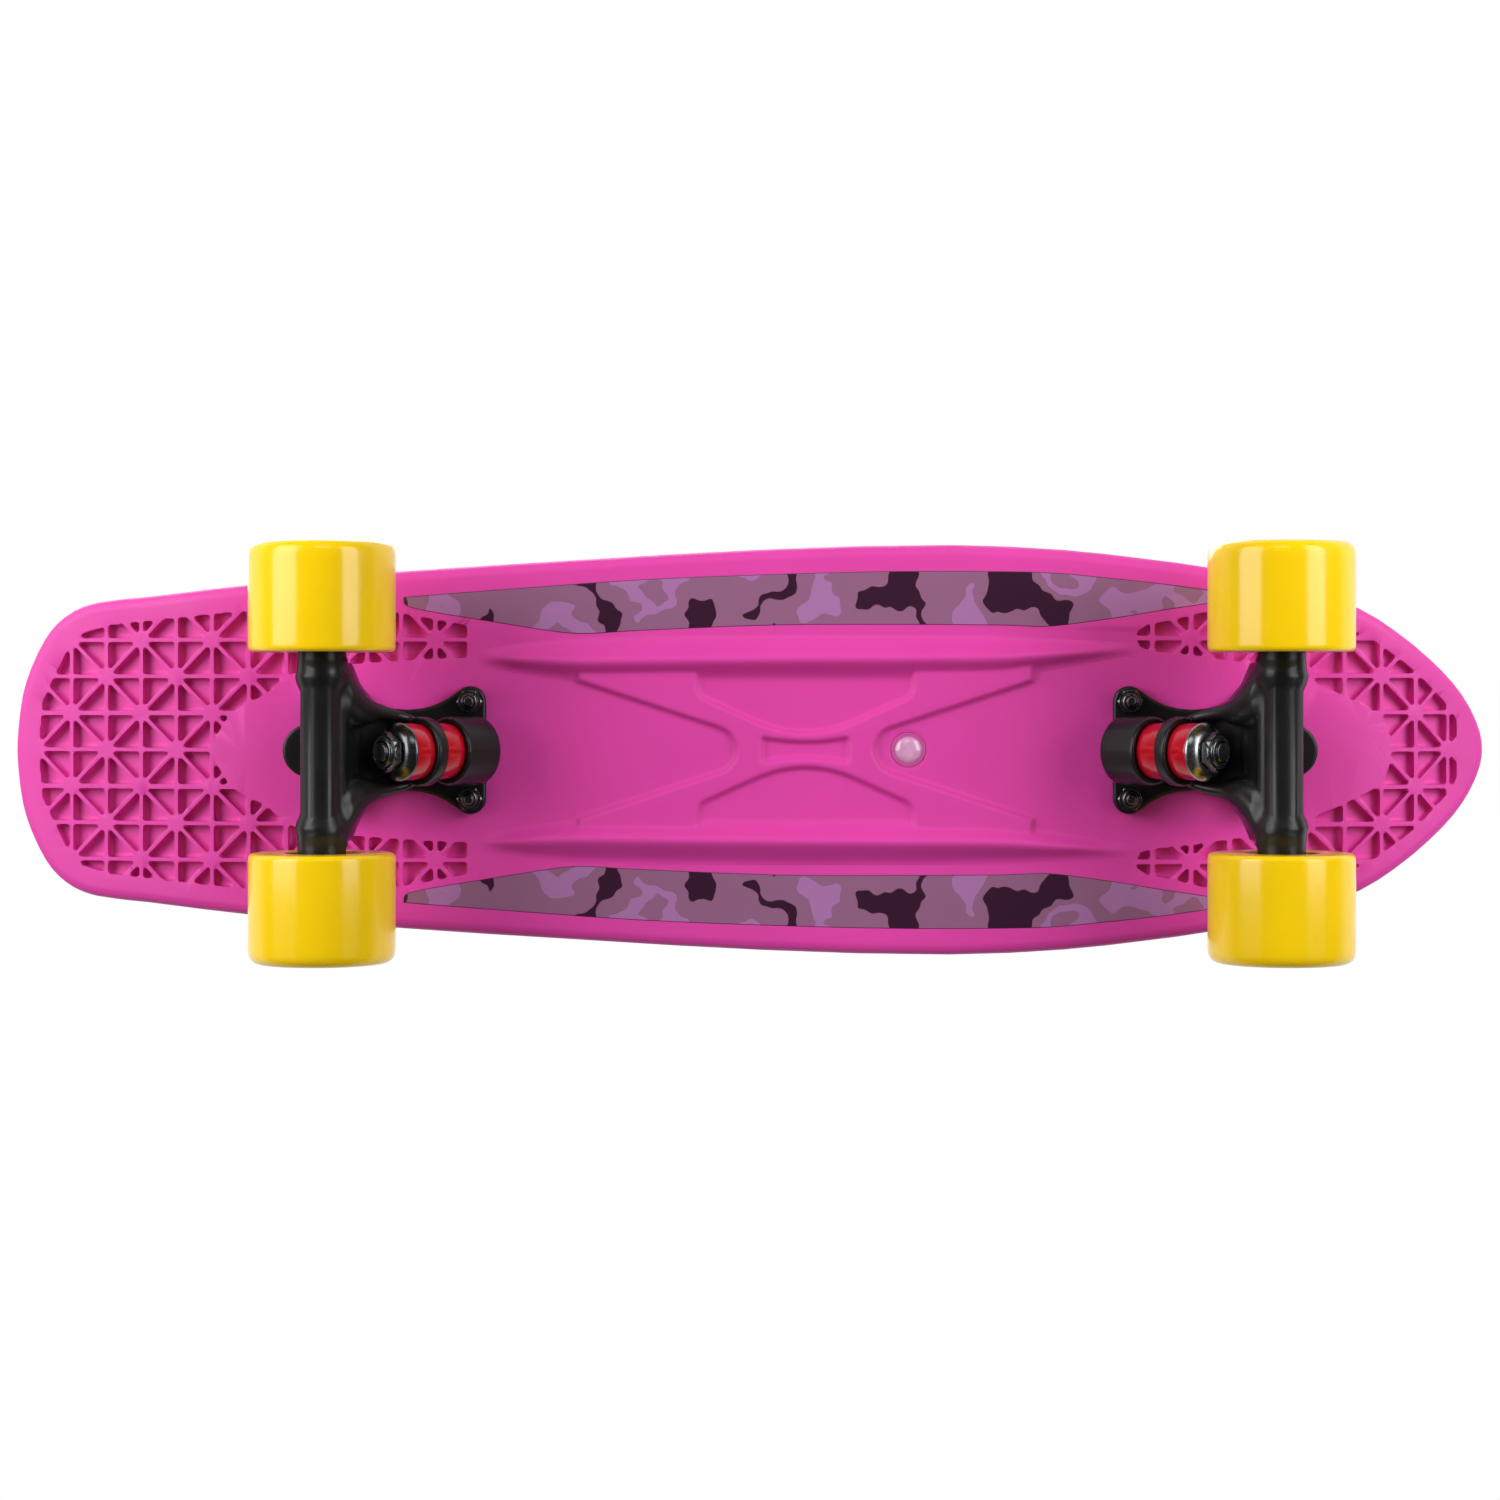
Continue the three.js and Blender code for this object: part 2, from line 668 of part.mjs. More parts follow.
function basePlate() {
  const top = -fitGap;
  const bottom = top - plateThickness;
  const wide = housingMouthX + boltSpacingX;
  const plate = solid(upright(plateOutline(), bottom, top));
  const beyondFace = block(-wide, wide, -wide, wide, pivotBossFace, wide).applyMatrix4(steerFrame);
  const boss = rod(pivotBossRadius, -pivotBossHeight, top).translate(pivotX, 0, 0);
  const pivotBoss = solid(boss).subtract(solid(beyondFace));
  const housing = turned([
    [0, -housingLength], [housingRadius - housingChamfer, -housingLength],
    [housingRadius, -housingLength + housingChamfer], [housingRadius, 0], [0, 0],
  ], 28).applyMatrix4(kingpinFrame);
  const mouthTop = besideKingpin(housingRadius, 0);
  const inner = besideKingpin(0, -housingLength / 2);
  const gusset = sideways([[gussetFootX, top - plateThickness / 2], mouthTop, inner,
    [inner[0], top - plateThickness / 2]], gussetHalf);
  const pinHole = rod(kingpinRadius + fitGap, -housingLength - cutOverrun, cutOverrun, 16);
  const bushingHole = rod(bushingRadius + fitGap, -bushingSeat, cutOverrun);
  const headRadius = kingpinHeadFlats / Math.sqrt(3) + kingpinHeadClearance;
  const headHole = rod(headRadius, -wide, -kingpinHeadSink, 20);
  const cupHole = rod(cupRadius + fitGap, -cupDepth - fitGap, wide, 20).applyMatrix4(steerFrame);
  const boltHoles = boltPlaces().map(([x, y]) => (
    rod(boltRadius + fitGap, bottom - cutOverrun, cutOverrun, 12).translate(x, y, 0)
  ));
  const body = joined([plate, pivotBoss, solid(housing), solid(gusset)]);
  const stack = [pinHole, bushingHole, headHole].map((tool) => solid(tool.applyMatrix4(kingpinFrame)));
  const clearOfBoss = solid(cupHole).intersect(solid(
    block(pivotX - wide, pivotX + 2 * pivotBossRadius, -wide, wide, -pivotBossHeight, top),
  ));
  return geometryOf(cutBy(body, [...stack, clearOfBoss, ...boltHoles.map(solid)]));
}

// Urethane cup that the hanger's pivot turns in
function pivotCup() {
  const bore = stubRadius + fitGap;
  const mouth = pivotBossFace - fitGap;
  const inside = -cupDepth + cupFloor;
  return turned([
    [0, -cupDepth], [cupRadius, -cupDepth], [cupRadius, mouth], [bore, mouth],
    [bore, inside], [0, inside],
  ], 20);
}

function kingpin() {
  const neck = -kingpinHeadSink - fitGap;
  const head = solid(hexBar(kingpinHeadFlats, neck - kingpinHeadHeight, neck));
  return geometryOf(head.add(solid(rod(kingpinRadius, neck - kingpinHeadHeight / 2, kingpinEnd, 24))));
}

// A lock nut: a hexagon with a round collar, on a plain bore
function lockNut(flats, height, collar, bore) {
  const hexagon = solid(hexBar(flats, 0, height - collar));
  const round = solid(turned([
    [0, height - collar - fitGap], [flats / 2, height - collar - fitGap],
    [flats / 2 - collar / 2, height], [0, height],
  ], 12));
  return geometryOf(cutBy(hexagon.add(round), [solid(rod(bore, -cutOverrun, height + cutOverrun, 12))]));
}

function bushing(fromZ, toZ) {
  const bore = kingpinRadius + 2 * fitGap;
  return turned(ringProfile([
    [bore, fromZ], [bushingRadius - bushingChamfer, fromZ],
    [bushingRadius, fromZ + bushingChamfer], [bushingRadius, toZ - bushingChamfer],
    [bushingRadius - bushingChamfer, toZ], [bore, toZ],
  ]));
}

function roadWasher() {
  const bore = kingpinRadius + fitGap;
  const near = washerNear + fitGap;
  const far = washerNear + washerThickness;
  return turned(ringProfile([
    [bore, near], [washerRadius, near], [washerRadius, near + washerEdge],
    [washerCrown, far], [bore, far],
  ]));
}

// Side view of the arms' end round the axle tube, in shares of the tube's radius
const armHeelShares = [
  [-0.34, 1.02], [-0.84, 0.6], [-0.84, -0.6], [-0.42, -1], [0.42, -1], [1, -0.4], [1.06, 0.5],
];
const neckHeelShares = [[0.5, 0.5], [-0.84, 0.5]];

// Plan of the hanger's arms, narrowing from the tube to the ring
const armPlanShares = [[1, 0.38], [0.79, 0.43], [0.63, 0.48], [0.46, 0.57], [0.34, 0.75], [0.25, 1]];

function hanger() {
  const axis = -axleDrop;
  const halfLength = wheelInnerFace + (wheelWidth - 2 * bearingWidth - bearingSpacing) / 2 - fitGap;
  const roundTube = ([x, z]) => [x * tubeRadius, axis + z * tubeRadius];
  const tube = turned([
    [0, -halfLength], [tubeRadius, -halfLength],
    [tubeRadius, -tubeCollarY - tubeCollarHalf], [tubeCollarRadius, -tubeCollarY],
    [tubeRadius, -tubeCollarY + tubeCollarHalf], [tubeRadius, tubeCollarY - tubeCollarHalf],
    [tubeCollarRadius, tubeCollarY], [tubeRadius, tubeCollarY + tubeCollarHalf],
    [tubeRadius, halfLength], [0, halfLength],
  ]).rotateX(Math.PI / 2).translate(0, 0, axis);
  const armRoad = washerRadius + armWasherClearance;
  const armDeck = ringRadius + armBack;
  const armSide = sideways([
    besideKingpin(ringRadius - armRootInset, ringNear),
    besideKingpin(ringRadius + armRootLip, ringNear),
    besideKingpin(armDeck, ringNear + armBackRise),
    besideKingpin(armDeck, kingpinEnd - armHeelRise),
    ...armHeelShares.map(roundTube),
    besideKingpin(armRoad, kingpinEnd),
    besideKingpin(armRoad, ringFar),
    besideKingpin(ringRadius - armRootInset, ringFar),
  ], armHalfReach);
  const tip = ringMiddle.x;
  const side = armPlanShares.map(([x, y]) => [x * tip, y * armHalfReach]);
  const foot = [-2 * tubeRadius, armHalfReach];
  const arms = solid(armSide).intersect(
    solid(upright(straightShape(withMirror([...side, foot])), 2 * axis, 0)),
  );
  const stub = turned([
    [0, -stubTip], [stubRadius - stubTipChamfer, -stubTip],
    [stubRadius, -stubTip + stubTipChamfer], [stubRadius, pivotBossFace],
    [stubRootRadius, stubRoot], [0, stubRoot],
  ], 20).applyMatrix4(steerFrame);
  const rootPoint = (offset, along) => {
    const point = new THREE.Vector3(offset, 0, along).applyMatrix4(steerFrame);
    return [point.x, point.z];
  };
  const neck = sideways([
    rootPoint(stubRootRadius, stubRoot - neckRootBack),
    rootPoint(-stubRootRadius, stubRoot - neckRootBack),
    besideKingpin(armDeck, ringNear + neckHeelRise),
    besideKingpin(armDeck - neckHeelInset, kingpinEnd - neckHeelRise),
    ...neckHeelShares.map(roundTube),
  ], neckHalf);
  const ring = solid(rod(ringRadius, ringNear, ringFar, 32).applyMatrix4(kingpinFrame));
  const bores = [
    rod(ringBore, ringNear - cutOverrun, ringFar + cutOverrun, 16),
    rod(bushingRadius + fitGap, ringNear - cutOverrun, ringNear + bushingSeat),
    rod(bushingRadius + fitGap, ringFar - bushingSeat, ringFar + cutOverrun),
  ].map((tool) => solid(tool.applyMatrix4(kingpinFrame)));
  const axleBore = rod(axleRadius + fitGap, -2 * halfLength, 2 * halfLength, 16);
  const whole = joined([solid(tube), arms, solid(stub), solid(neck), ring]);
  return geometryOf(cutBy(whole, [
    ...bores, solid(axleBore.rotateX(Math.PI / 2).translate(0, 0, axis)),
  ]));
}

// Wheel pieces are made along their own axle, from the inner face outwards
const wheelFlats = 24;
const flatsToCorners = 1 / Math.cos(Math.PI / wheelFlats);
const bearingInset = (wheelWidth - 2 * bearingWidth - bearingSpacing) / 2;
const outerBearing = bearingInset + bearingWidth + bearingSpacing;
const washerPlace = outerBearing + bearingWidth + fitGap;
const axleNutPlace = washerPlace + speedWasherThickness + fitGap;

function quarterTurn(centreRadius, centreZ, radius, fromDegrees, toDegrees, steps) {
  const points = [];
  for (let i = 0; i <= steps; i += 1) {
    const angle = radians(fromDegrees + (toDegrees - fromDegrees) * (i / steps));
    points.push([centreRadius + radius * Math.cos(angle), centreZ + radius * Math.sin(angle)]);
  }
  return points;
}

// The wheel's facets are as far from its axle as its tread, and it rests on one of them
function wheel() {
  const seat = bearingRadius + fitGap;
  const shoulder = bearingRadius - bearingShoulder;
  const innerLip = quarterTurn(
    wheelRadius - wheelInnerLip, wheelInnerLip, wheelInnerLip, -90, 0, 1);
  const outerLip = quarterTurn(
    wheelRadius - wheelOuterLip, wheelWidth - wheelOuterLip, wheelOuterLip, 0, 90, 3);
  const rim = wheelRadius - wheelSideWall;
  const geometry = turned(ringProfile([
    [seat, bearingInset - hubDraft], [hubRadius - hubDraft, bearingInset - hubDraft],
    [hubRadius, 0], ...innerLip, ...outerLip, [rim, wheelWidth],
    [hubRadius, wheelWidth - wheelDish],
    [hubRadius - hubDraft, wheelWidth - bearingInset + hubDraft],
    [seat, wheelWidth - bearingInset + hubDraft],
    [seat, outerBearing - fitGap], [shoulder, outerBearing - fitGap],
    [shoulder, bearingInset + bearingWidth + fitGap], [seat, bearingInset + bearingWidth + fitGap],
  ]), wheelFlats);
  return geometry.rotateZ(Math.PI / wheelFlats).scale(flatsToCorners, flatsToCorners, 1);
}

function bearing() {
  return turned(ringProfile([
    [bearingBore, 0], [bearingRadius, 0],
    [bearingRadius, bearingWidth], [bearingBore, bearingWidth],
  ]), 20);
}

function speedWasher() {
  return turned(ringProfile([
    [bearingBore, 0], [speedWasherRadius, 0],
    [speedWasherRadius, speedWasherThickness], [bearingBore, speedWasherThickness],
  ]), 16);
}

function axle() {
  const half = wheelInnerFace + axleNutPlace + axleNutHeight + axleEndShown;
  return rod(axleRadius, -half, half, 16);
}

// A mounting bolt hangs from its countersunk head at the deck's top
function mountBolt() {
  const top = deckThickness;
  const end = top - boltLength;
  return turned([
    [0, end], [boltRadius, end], [boltRadius, top - boltHeadHeight],
    [boltHeadRadius, top], [0, top],
  ], 10);
}

// Materials
const colours = {
  deck: [0xd84c9f, 0.42, 0],
  film: [0x704868, 0.35, 0],
  badge: [0xe6d3de, 0.1, 0],
  casting: [0x1a1a1c, 0.45, 0.3],
  urethane: [0xc9102b, 0.25, 0],
  steel: [0xa9abad, 0.25, 1],
  blackSteel: [0x2a2b2d, 0.35, 0.9],
  cup: [0x2b2b2b, 0.6, 0],
  wheel: [0xe8c31a, 0.22, 0],
  bearing: [0x8d9093, 0.3, 1],
};

function piece(name, colour, geometry) {
  const [color, roughness, metalness] = colours[colour];
  const material = new THREE.MeshStandardMaterial({ color, roughness, metalness });
  const mesh = new THREE.Mesh(geometry, material);
  mesh.name = name;
  return mesh;
}

// Everything on one wheel's side of an axle, from the inner face outwards
function wheelGroup(end, sideName, turn) {
  const group = new THREE.Group();
  const label = `${end}_${sideName}`;
  const outer = piece(`${label}_outer_bearing`, "bearing", bearing());
  const inner = piece(`${label}_inner_bearing`, "bearing", bearing());
  const washer = piece(`${label}_speed_washer`, "steel", speedWasher());
  const nut = piece(`${label}_axle_nut`, "steel",
    lockNut(axleNutFlats, axleNutHeight, axleNutCollar, axleRadius + fitGap));
  inner.position.z = bearingInset;
  outer.position.z = outerBearing;
  washer.position.z = washerPlace;
  nut.position.z = axleNutPlace;
  group.add(piece(`${label}_wheel`, "wheel", wheel()), inner, outer, washer, nut);
  group.rotation.x = turn;
  group.position.set(0, -Math.sign(turn) * wheelInnerFace, -axleDrop);
  return group;
}

function kingpinGroup(end) {
  const group = new THREE.Group();
  const nut = piece(`${end}_kingpin_nut`, "blackSteel",
    lockNut(kingpinHeadFlats, kingpinNutHeight, kingpinNutCollar, kingpinRadius + fitGap));
  nut.position.z = nutNear;
  nut.rotation.z = Math.PI / 2;
  const boardEnd = ringNear + bushingSeat - fitGap;
  const roadStart = ringFar - bushingSeat + fitGap;
  group.add(
    piece(`${end}_kingpin`, "blackSteel", kingpin()),
    piece(`${end}_board_bushing`, "urethane", bushing(-bushingSeat + fitGap, boardEnd)),
    piece(`${end}_road_bushing`, "urethane", bushing(roadStart, washerNear)),
    piece(`${end}_road_washer`, end === "nose" ? "steel" : "blackSteel", roadWasher()),
    nut,
  );
  group.applyMatrix4(kingpinFrame);
  return group;
}

function truck(end) {
  const group = new THREE.Group();
  const cup = piece(`${end}_pivot_cup`, "cup", pivotCup());
  cup.applyMatrix4(steerFrame);
  const rodAxle = piece(`${end}_axle`, "steel", axle());
  rodAxle.rotation.x = Math.PI / 2;
  rodAxle.position.z = -axleDrop;
  group.add(piece(`${end}_base_plate`, "casting", basePlate()), cup, kingpinGroup(end));
  group.add(piece(`${end}_hanger`, "casting", hanger()), rodAxle);
  boltPlaces().forEach(([x, y], i) => {
    const bolt = piece(`${end}_mount_bolt_${i + 1}`, "blackSteel", mountBolt());
    const nut = piece(`${end}_mount_nut_${i + 1}`, "blackSteel",
      lockNut(mountNutFlats, mountNutHeight, mountNutCollar, boltRadius + fitGap));
    bolt.position.set(x, y, 0);
    nut.rotation.x = Math.PI;
    nut.position.set(x, y, -plateThickness - 2 * fitGap);
    group.add(bolt, nut);
  });
  const inboard = end === "tail" ? 1 : -1;
  const leftTurn = -Math.PI / 2;
  group.add(wheelGroup(end, inboard > 0 ? "left" : "right", leftTurn));
  group.add(wheelGroup(end, inboard > 0 ? "right" : "left", -leftTurn));
  group.position.x = axleX[end];
  group.rotation.z = end === "nose" ? tau / 2 : 0;
  return group;
}

const skateboard = new THREE.Group();
skateboard.position.z = deckUndersideZ;
const badgePiece = piece("badge", "badge", badge());
badgePiece.position.x = alongDeck(badgePlaceShare);
skateboard.add(
  piece("deck", "deck", deck()),
  piece("left_film_strip", "film", filmStrip(1)),
  piece("right_film_strip", "film", filmStrip(-1)),
  badgePiece,
  truck("tail"),
  truck("nose"),
);

export default skateboard;
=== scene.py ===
import json
import math

import bmesh
import bpy
import numpy as np
from bpy.props import FloatProperty, FloatVectorProperty, PointerProperty
from mathutils import Matrix, Vector


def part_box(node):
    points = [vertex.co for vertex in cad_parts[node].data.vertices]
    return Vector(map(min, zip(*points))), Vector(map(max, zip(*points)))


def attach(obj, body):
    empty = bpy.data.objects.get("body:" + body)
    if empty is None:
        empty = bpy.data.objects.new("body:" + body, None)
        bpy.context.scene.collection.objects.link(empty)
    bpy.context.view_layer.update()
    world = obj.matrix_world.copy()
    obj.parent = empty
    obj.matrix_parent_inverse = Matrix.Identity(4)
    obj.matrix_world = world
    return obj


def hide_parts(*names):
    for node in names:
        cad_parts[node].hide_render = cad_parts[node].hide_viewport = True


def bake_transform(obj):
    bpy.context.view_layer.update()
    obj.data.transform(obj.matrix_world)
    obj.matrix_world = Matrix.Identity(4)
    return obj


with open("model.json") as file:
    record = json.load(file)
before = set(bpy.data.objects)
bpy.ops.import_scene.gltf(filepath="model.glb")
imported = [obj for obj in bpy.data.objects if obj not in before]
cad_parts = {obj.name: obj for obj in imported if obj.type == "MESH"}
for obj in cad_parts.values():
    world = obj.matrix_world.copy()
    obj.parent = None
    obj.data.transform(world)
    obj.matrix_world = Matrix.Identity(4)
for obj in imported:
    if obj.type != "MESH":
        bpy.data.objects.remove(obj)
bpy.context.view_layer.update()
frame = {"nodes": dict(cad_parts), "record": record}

bl_info = {
    "name": "Cruiser skateboard",
    "version": (1, 0, 0),
    "blender": (4, 5, 0),
    "location": "View3D > Sidebar > Skateboard",
    "description": "Builds the looks of a moulded plastic cruiser skateboard on its CAD frame",
    "category": "Object",
}

MM = 0.001
ENDS = ("tail", "nose")
SIDES = {"left": 1, "right": -1}

# Places on a truck in mm, from the axle inboard and from the deck's underside down
AXLE_DROP = 57.0
MOUTH_X = 48.0
MOUTH_DROP = 27.4
KINGPIN_TILT = math.radians(43)
BOLT_ROW_X = 2.0
BOLT_SPACING_X = 54.0
BOLT_SPACING_Y = 41.3
PLATE_THICKNESS = 5.5
DECK_THICKNESS = 11.0

# Heights along the kingpin in mm, from the housing's mouth towards the road
HEAD_SEAT = -13.0
HEAD_HEIGHT = 5.5
HEAD_FLATS = 14.3
KINGPIN_RADIUS = 4.7
BUSHING_RADIUS = 11.9
BUSHING_BORE = 5.3
RING_NEAR = 10.9
RING_FAR = 16.4
WASHER_NEAR = 25.9
WASHER_FAR = 29.9
NUT_NEAR = 30.2
NUT_HEIGHT = 5.4
KINGPIN_END = 36.5

# Heights along an axle in mm, from a wheel's inner face outwards
WHEEL_WIDTH = 45.0
WHEEL_RADIUS = 30.0
INNER_FACE = 41.0
BEARING_INSET = 10.35
BEARING_WIDTH = 7.0
BEARING_RADIUS = 11.0
OUTER_BEARING = 27.65
CORE_RADIUS = 13.4
CORE_BORE = 8.6
CORE_STEPS = (17.65, 34.95)
CORE_END = 36.25
# One face of a bearing, with its sunk shield: radius, depth and rounding
BEARING_HALF = (
    (4.0, 0, 0.15), (6.2, 0, 0.15), (6.3, 0.35, 0.05), (9.4, 0.35, 0.05), (9.5, 0, 0.1),
    (11.0, 0, 0.4),
)
SPEED_WASHER = 34.95
AXLE_NUT = 36.25
AXLE_NUT_FLATS = 12.7
AXLE_NUT_HEIGHT = 8.0
AXLE_HALF = 85.85
AXLE_RADIUS = 3.9
TUBE_RADIUS = 9.9

# The deck in mm: places on it are shares of its half length and half width
DECK_MIDDLE = 1.1
DECK_HALF_LENGTH = 322.1
DECK_HALF_WIDTH = 87.8

DECK_RIM = 5.5
DECK_TRIANGLES = 190000
POCKET_DEPTH = 4.3
RIB_SLIMMING = 0.5
# The lattice lies inside the rim, and beside the trucks or past them towards an end
LATTICE_INSET = 7.0
LATTICE_SIDE = 28.0
LATTICE_TAIL = -190.0
LATTICE_NOSE = 232.0
# The ridges and the cross lie this near the deck's middle line, and the films past it
RELIEF_HALF = 49.0
TAIL_BEND = (-1, 205.0, 190.0, math.radians(12))
NOSE_BEND = (1, 243.0, 125.0, math.radians(23))
OUTLINE = (
    (-1, 0), (-0.9984, 0.1), (-0.992, 0.268), (-0.98, 0.401), (-0.959, 0.548),
    (-0.942, 0.622), (-0.918, 0.684), (-0.887, 0.722), (-0.81, 0.751), (-0.67, 0.805),
    (-0.474, 0.869), (-0.229, 0.927), (0.01, 0.977), (0.263, 1), (0.413, 0.976),
    (0.523, 0.932), (0.607, 0.889), (0.708, 0.81), (0.809, 0.691), (0.862, 0.583),
    (0.9155, 0.448), (0.953, 0.33), (0.979, 0.213), (0.996, 0.089), (1, 0),
)

# Each ridge: place along the deck, then outer foot, crest and inner foot across it, and rise
RIDGE_ROWS = (
    (-0.356, 0.47, 0.449, 0.427, 0.0), (-0.35, 0.472, 0.449, 0.425, 0.16),
    (-0.31, 0.5, 0.44, 0.39, 0.66), (-0.231, 0.527, 0.428, 0.35, 1.0),
    (-0.068, 0.542, 0.436, 0.356, 1.0), (0.064, 0.549, 0.441, 0.356, 1.0),
    (0.23, 0.546, 0.444, 0.356, 1.0), (0.33, 0.535, 0.447, 0.362, 1.0),
    (0.41, 0.52, 0.467, 0.42, 0.7), (0.5, 0.502, 0.492, 0.48, 0.1), (0.504, 0.5, 0.492, 0.482, 0.0),
)
RIDGE_HEIGHT = 7.0
RIDGE_CREST_HALF = 0.9

# The raised cross in mm from its own middle: its notches, pockets and window
CROSS_MIDDLE = 23.6
CROSS_HEIGHT = 2.4
CROSS_EDGE = 0.85
CROSS_REACH = 97.0
NOTCH_CENTRE = 39.5
NOTCH_RADIUS = 10.0
NOTCH_SLOPE = 0.329
POCKET_HALF = 46.0
POCKET_TOP = 7.5
POCKET_BOW = 0.0103
POCKET_STRAIGHT = 22.0
WINDOW_HALF = 18.5
WINDOW_WAIST = 3.4
WINDOW_FLARE = 1.9
PANEL_CELL = 0.7
PANEL_PROUD = 0.03
PANEL_MARGIN = 2.2
PANEL_SKIRT = 0.6
# Softening of the relief, in cells of its grid
RIDGE_EASE = 8
RISE_EASE = 2.5
RIDGE_BLUR = 1.8
PANEL_BLUR = 0.7

# Outline of a film strip on the deck, from its tail point round its outer edge
FILM_OUTLINE = (
    (-0.4625, 0.718), (-0.459, 0.738), (-0.449, 0.748), (-0.3, 0.79), (-0.148, 0.829),
    (0.024, 0.855), (0.198, 0.87), (0.375, 0.866), (0.46, 0.842), (0.541, 0.81), (0.607, 0.776),
    (0.644, 0.757), (0.654, 0.748), (0.655, 0.739), (0.646, 0.732),
    (0.607, 0.712), (0.541, 0.676), (0.483, 0.641), (0.395, 0.6), (0.331, 0.605),
    (0.198, 0.608), (0.028, 0.605), (-0.148, 0.579), (-0.218, 0.564), (-0.262, 0.574),
    (-0.36, 0.63), (-0.42, 0.666), (-0.45, 0.688), (-0.459, 0.7),
)
FILM_FIELD = (45.0, 78.0)
SEAT_DEPTHS = (0.6, 0.95)
FILM_COLUMNS = 160
FILM_TIP = 0.03
# From the seat up over the film's edge: inset, height and how dark the rim is drawn
FILM_SECTION = ((0.0, 0.4, 1.0), (0.0, 0.02, 1.0), (0.3, -0.08, 1.0), (0.4, -0.1, 0.0))

# Grip pips: their field in m, the height they drop from, how level the deck must be there, how
# much farther out it must still reach along and across, and a pip's top as a share of its foot
PIP_FIELD = (0.64, 0.18)
PIP_DROP = 0.3
PIP_UPWARD = 0.8
PIP_RIM = (1.028, 1.13)
PIP_TAPER = 0.55

# A hanger's shoulder and arm, from the tube's end to the ring: x, y and z from the axle, radius
ARM_PATH = (
    (0, 41, 0, 9.7), (0, 37, 0, 10.3), (1, 33, 0, 10.9), (4.5, 28.5, 1.5, 8.6),
    (9, 23.3, 4, 6.8), (14, 19.1, 8, 5.3), (20.5, 16.6, 14, 3.4), (28.5, 15, 20, 2.4),
    (35, 13.2, 22.5, 1.6),
)
# What fills the corner between the tube and the arms: the arms' inner flanks and the web's foot
FLANK_PATH = (
    (0, 27, 0, 9.5), (5, 21.5, 2.5, 8.3), (10, 17, 6.5, 6.8), (16, 15.6, 11.5, 4.7),
    (23, 16, 17.5, 2.6),
)
WEB_PATH = ((7.5, -15, 14.5, 5.0), (8.0, -7, 14.5, 6.5), (8.0, 7, 14.5, 6.5), (7.5, 15, 14.5, 5.0))
FILLET_ROUNDS = 12
CAST_SHARE_KEPT = 0.45
SHOULDER_RISE = 1.1
SHOULDER_PLACE = 32.0
TUBE_WAIST = 8.1
TUBE_WAIST_FROM = 21.5
TUBE_WAIST_TO = 29.0
# The tube's own shape fades out over these distances from its middle, and over these heights
TUBE_FADE = (14.5, 11.8)
ROAD_SIDE_FADE = (-1, -7)

# A side softbox has its full power at this area, in square metres
SOFTBOX_AREA = 2.8

# The floor in m: half its size, and how far it is under the wheels
FLOOR_HALF = 4.0
FLOOR_GAP = 0.0008

# The photograph's camera: place in m, focal length in mm and shift
CAMERA_PLACE = (0, -0.025, -1.263)
CAMERA_LENS = 75.9
CAMERA_SHIFT = -0.0391


def linear(code):
    """An sRGB hex colour as linear red, green, blue and alpha."""
    channels = [int(code[i:i + 2], 16) / 255 for i in (1, 3, 5)]
    curved = [c / 12.92 if c <= 0.04045 else ((c + 0.055) / 1.055) ** 2.4 for c in channels]
    return (*curved, 1.0)


def colour_setting(name, code, words):
    """A colour that a user can change, given as sRGB hex."""
    return FloatVectorProperty(
        name=name, description=words, subtype="COLOR", size=4, min=0.0, max=1.0,
        default=linear(code))


def length_setting(name, value, words):
    """A length in millimetres that a user can change."""
    return FloatProperty(name=name, description=words, default=value, min=0.0)


def power_setting(name, value, words):
    """A lamp's power that a user can change."""
    return FloatProperty(name=name, description=words, default=value, unit="POWER")


class DeckSettings(bpy.types.PropertyGroup):
    """Sizes and colours of the deck, its film strips and its badge."""

    plastic: colour_setting("Plastic", "#DB3FA3", "Colour of the moulded deck")
    voxel: length_setting("Deck detail", 0.5, "Finest detail of the deck's moulding, in mm")
    pip_pitch: length_setting("Pip pitch", 7.0, "Spacing of the grip pips on the top, in mm")
    pip_radius: length_setting("Pip radius", 1.7, "Radius of a grip pip, in mm")
    pip_height: length_setting("Pip height", 0.6, "Height of a grip pip, in mm")
    film_light: colour_setting("Film light", "#A770A6", "Lightest colour of the printed film")
    film_middle: colour_setting("Film middle", "#905F81", "Middle colour of the printed film")
    film_dark: colour_setting("Film dark", "#35122C", "Darkest colour of the printed film")


class TruckSettings(bpy.types.PropertyGroup):
    """Sizes and colours of the two trucks."""

    coat: colour_setting("Powder coat", "#151517", "Colour of the coated castings")
    bushing: colour_setting("Bushing", "#B80822", "Colour of the urethane bushings")
    cast_voxel: length_setting("Casting detail", 0.6, "Finest detail of the castings, in mm")


class WheelSettings(bpy.types.PropertyGroup):
    """Colour and rounding of the wheels."""

    urethane: colour_setting("Urethane", "#F4C906", "Colour of the wheels")
    inner_lip: length_setting("Inner lip", 2.6, "Rounding of a wheel's inner edge, in mm")
    outer_lip: length_setting("Outer lip", 6.2, "Rounding of a wheel's outer edge, in mm")


